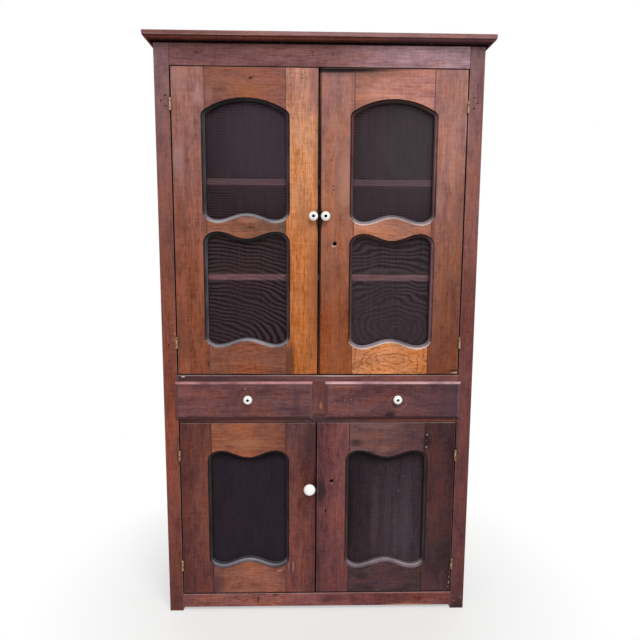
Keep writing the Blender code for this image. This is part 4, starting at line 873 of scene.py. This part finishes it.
# Nails that hold the back boards to the floors, the shelves and the top, two in each board
BACK_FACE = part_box("back")[1].y
TOP_ROW = 2.034
NAILED = ("bottom_board", "drawer_floor", "upper_floor", "low_shelf", "high_shelf")
BACK_ROWS = [(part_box(board)[0].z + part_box(board)[1].z) / 2 for board in NAILED] + [TOP_ROW]
NAIL_ASIDES = (-0.071, 0.068)
set_copies("back_nails", back_nail, [
    ((plank * BACK_PLANK + aside, BACK_FACE, row), BACK_NAIL, 0.0)
    for row in BACK_ROWS for plank in range(-2, 3) for aside in NAIL_ASIDES], "case")

# Tacks along the edges of the wire cloth and nails round the panels, on the backs of the doors
TACK_INSET, TACK_STEP = 4.5 * MM, 68 * MM
for sheet, body in (("upper_left_screen", "upper_left_door"), ("upper_right_screen", "upper_right_door"),
                    ("lower_left_panel", "lower_left_door"), ("lower_right_panel", "lower_right_door")):
    low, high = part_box(sheet)
    left, right = low.x + TACK_INSET, high.x - TACK_INSET
    bottom, top = low.z + TACK_INSET, high.z - TACK_INSET
    along = round((right - left) / TACK_STEP)
    upward = round((top - bottom) / TACK_STEP)
    spots = [(left + (right - left) * step / along, z) for step in range(along + 1) for z in (bottom, top)]
    spots += [(x, bottom + (top - bottom) * step / upward)
              for step in range(1, upward) for x in (left, right)]
    set_copies(f"{body}_tacks", back_nail, [((x, high.y, z), TACK, 0.0) for x, z in spots], body)

# Screws in the leaves of the hinges, three in each, flush but for their edge: their depth and height in the
# leaf, and how far from the middle of the cupboard its outer face lies
SCREW_ROWS = [(-0.1845, -14 * MM), (-0.1795, 0.0), (-0.1845, 14 * MM)]
LEAF_FACES = {"frame": 0.5032, "door": 0.5023}
for body in ("upper_left_door", "upper_right_door", "lower_left_door", "lower_right_door"):
    hinges = body.removesuffix("_door")
    side = -1.0 if "left" in body else 1.0
    for leaf, face in LEAF_FACES.items():
        inward = (leaf == "frame") == (side > 0)
        places = []
        for hinge in ("top", "bottom"):
            low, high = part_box(f"{hinges}_{hinge}_hinge_{leaf}_leaf")
            middle = (low.z + high.z) / 2
            places += [((side * face, y, middle + up), HINGE_SCREW, HALF_TURN if inward else 0.0)
                       for y, up in SCREW_ROWS]
        set_copies(f"{hinges}_{leaf}_hinge_screws", hinge_screw, places, body if leaf == "door" else "case")
for model in (front_nail, back_nail, bright_nail, hinge_screw):
    bpy.data.objects.remove(model)


# The photograph's camera: its lens and sensor in millimetres, its place and its axes
LENS, SENSOR = 33.82, 36.0
EYE = (-0.0511, -2.3005, 1.4034)
RIGHT = Vector((0.99967, -0.02509, 0.00554))
AHEAD = Vector((0.02561, 0.99009, -0.13807))
UP = Vector((-0.00202, 0.13817, 0.99041))
# Light of the room as a share of the white that the camera sees, and the lamp
ROOM_SHARE = 0.30
LAMP_ENERGY, LAMP_SPREAD, LAMP_WAY = 2.2, math.radians(40), Vector((-0.17, 0.65, -0.74))
# The floor lies just under the feet, and from near to far it fades to white
FLOOR_SIZE, FLOOR_DROP, FADE_NEAR, FADE_FAR, FADE_LEAST = 40.0, 0.5 * MM, 0.5, 1.1, 0.45


def stand_camera():
    """A camera where the photograph was taken."""
    lens = bpy.data.cameras.new("view")
    lens.sensor_width = SENSOR
    lens.lens = LENS
    camera = bpy.data.objects.new("view", lens)
    bpy.context.scene.collection.objects.link(camera)
    turn = Matrix((RIGHT, UP, -AHEAD)).transposed().to_4x4()
    camera.matrix_world = Matrix.Translation(EYE) @ turn
    bpy.context.scene.camera = camera


def seen_directly(tree):
    """1 for what the camera sees, also in a reflection or through glass, 0 for light on its way."""
    path = add(tree, "LightPath", out=None)
    seen = add(tree, "Math", {0: path["Is Camera Ray"], 1: path["Is Glossy Ray"]}, operation="MAXIMUM")
    return add(tree, "Math", {0: seen, 1: path["Is Transmission Ray"]}, operation="MAXIMUM")


def light_room():
    """White all round for the camera and for reflections, less for light, and one wide soft lamp in front."""
    world = bpy.data.worlds.new("white room")
    bpy.context.scene.world = world
    world.use_nodes = True
    tree = world.node_tree
    strength = add(tree, "MapRange", {0: seen_directly(tree), 3: ROOM_SHARE, 4: 1.0})
    tree.nodes["Background"].inputs["Color"].default_value = (1.0, 1.0, 1.0, 1.0)
    tree.links.new(strength, tree.nodes["Background"].inputs["Strength"])
    lamp = bpy.data.lights.new("wide soft lamp", "SUN")
    lamp.energy = LAMP_ENERGY
    lamp.angle = LAMP_SPREAD
    stand = bpy.data.objects.new("wide soft lamp", lamp)
    bpy.context.scene.collection.objects.link(stand)
    stand.rotation_euler = LAMP_WAY.to_track_quat("-Z", "Y").to_euler()


def lay_floor():
    """Pale floor that fades to plain white away from the cupboard."""
    select()
    bpy.ops.mesh.primitive_plane_add(size=FLOOR_SIZE, location=(0.0, 0.0, -FLOOR_DROP))
    floor = bpy.context.object
    floor.name = "floor"
    finish, tree, shader, place = new_finish("pale floor")
    shader.inputs["Base Color"].default_value = linear("#f4f3f1")
    shader.inputs["Roughness"].default_value = 0.8
    far = add(tree, "VectorMath", {0: place}, operation="LENGTH", out=1)
    fade = add(tree, "MapRange", {0: far, 1: FADE_NEAR, 2: FADE_FAR, 3: FADE_LEAST, 4: 1.0})
    fade = add(tree, "Math", {0: fade, 1: seen_directly(tree)}, operation="MULTIPLY")
    white = add(tree, "Emission", {"Strength": 1.0})
    mixed = add(tree, "MixShader", {0: fade, 1: shader.outputs[0], 2: white})
    tree.links.new(mixed, tree.nodes["Material Output"].inputs["Surface"])
    floor.data.materials.append(finish)


stand_camera()
light_room()
lay_floor()
bpy.context.scene.view_settings.view_transform = "Standard"
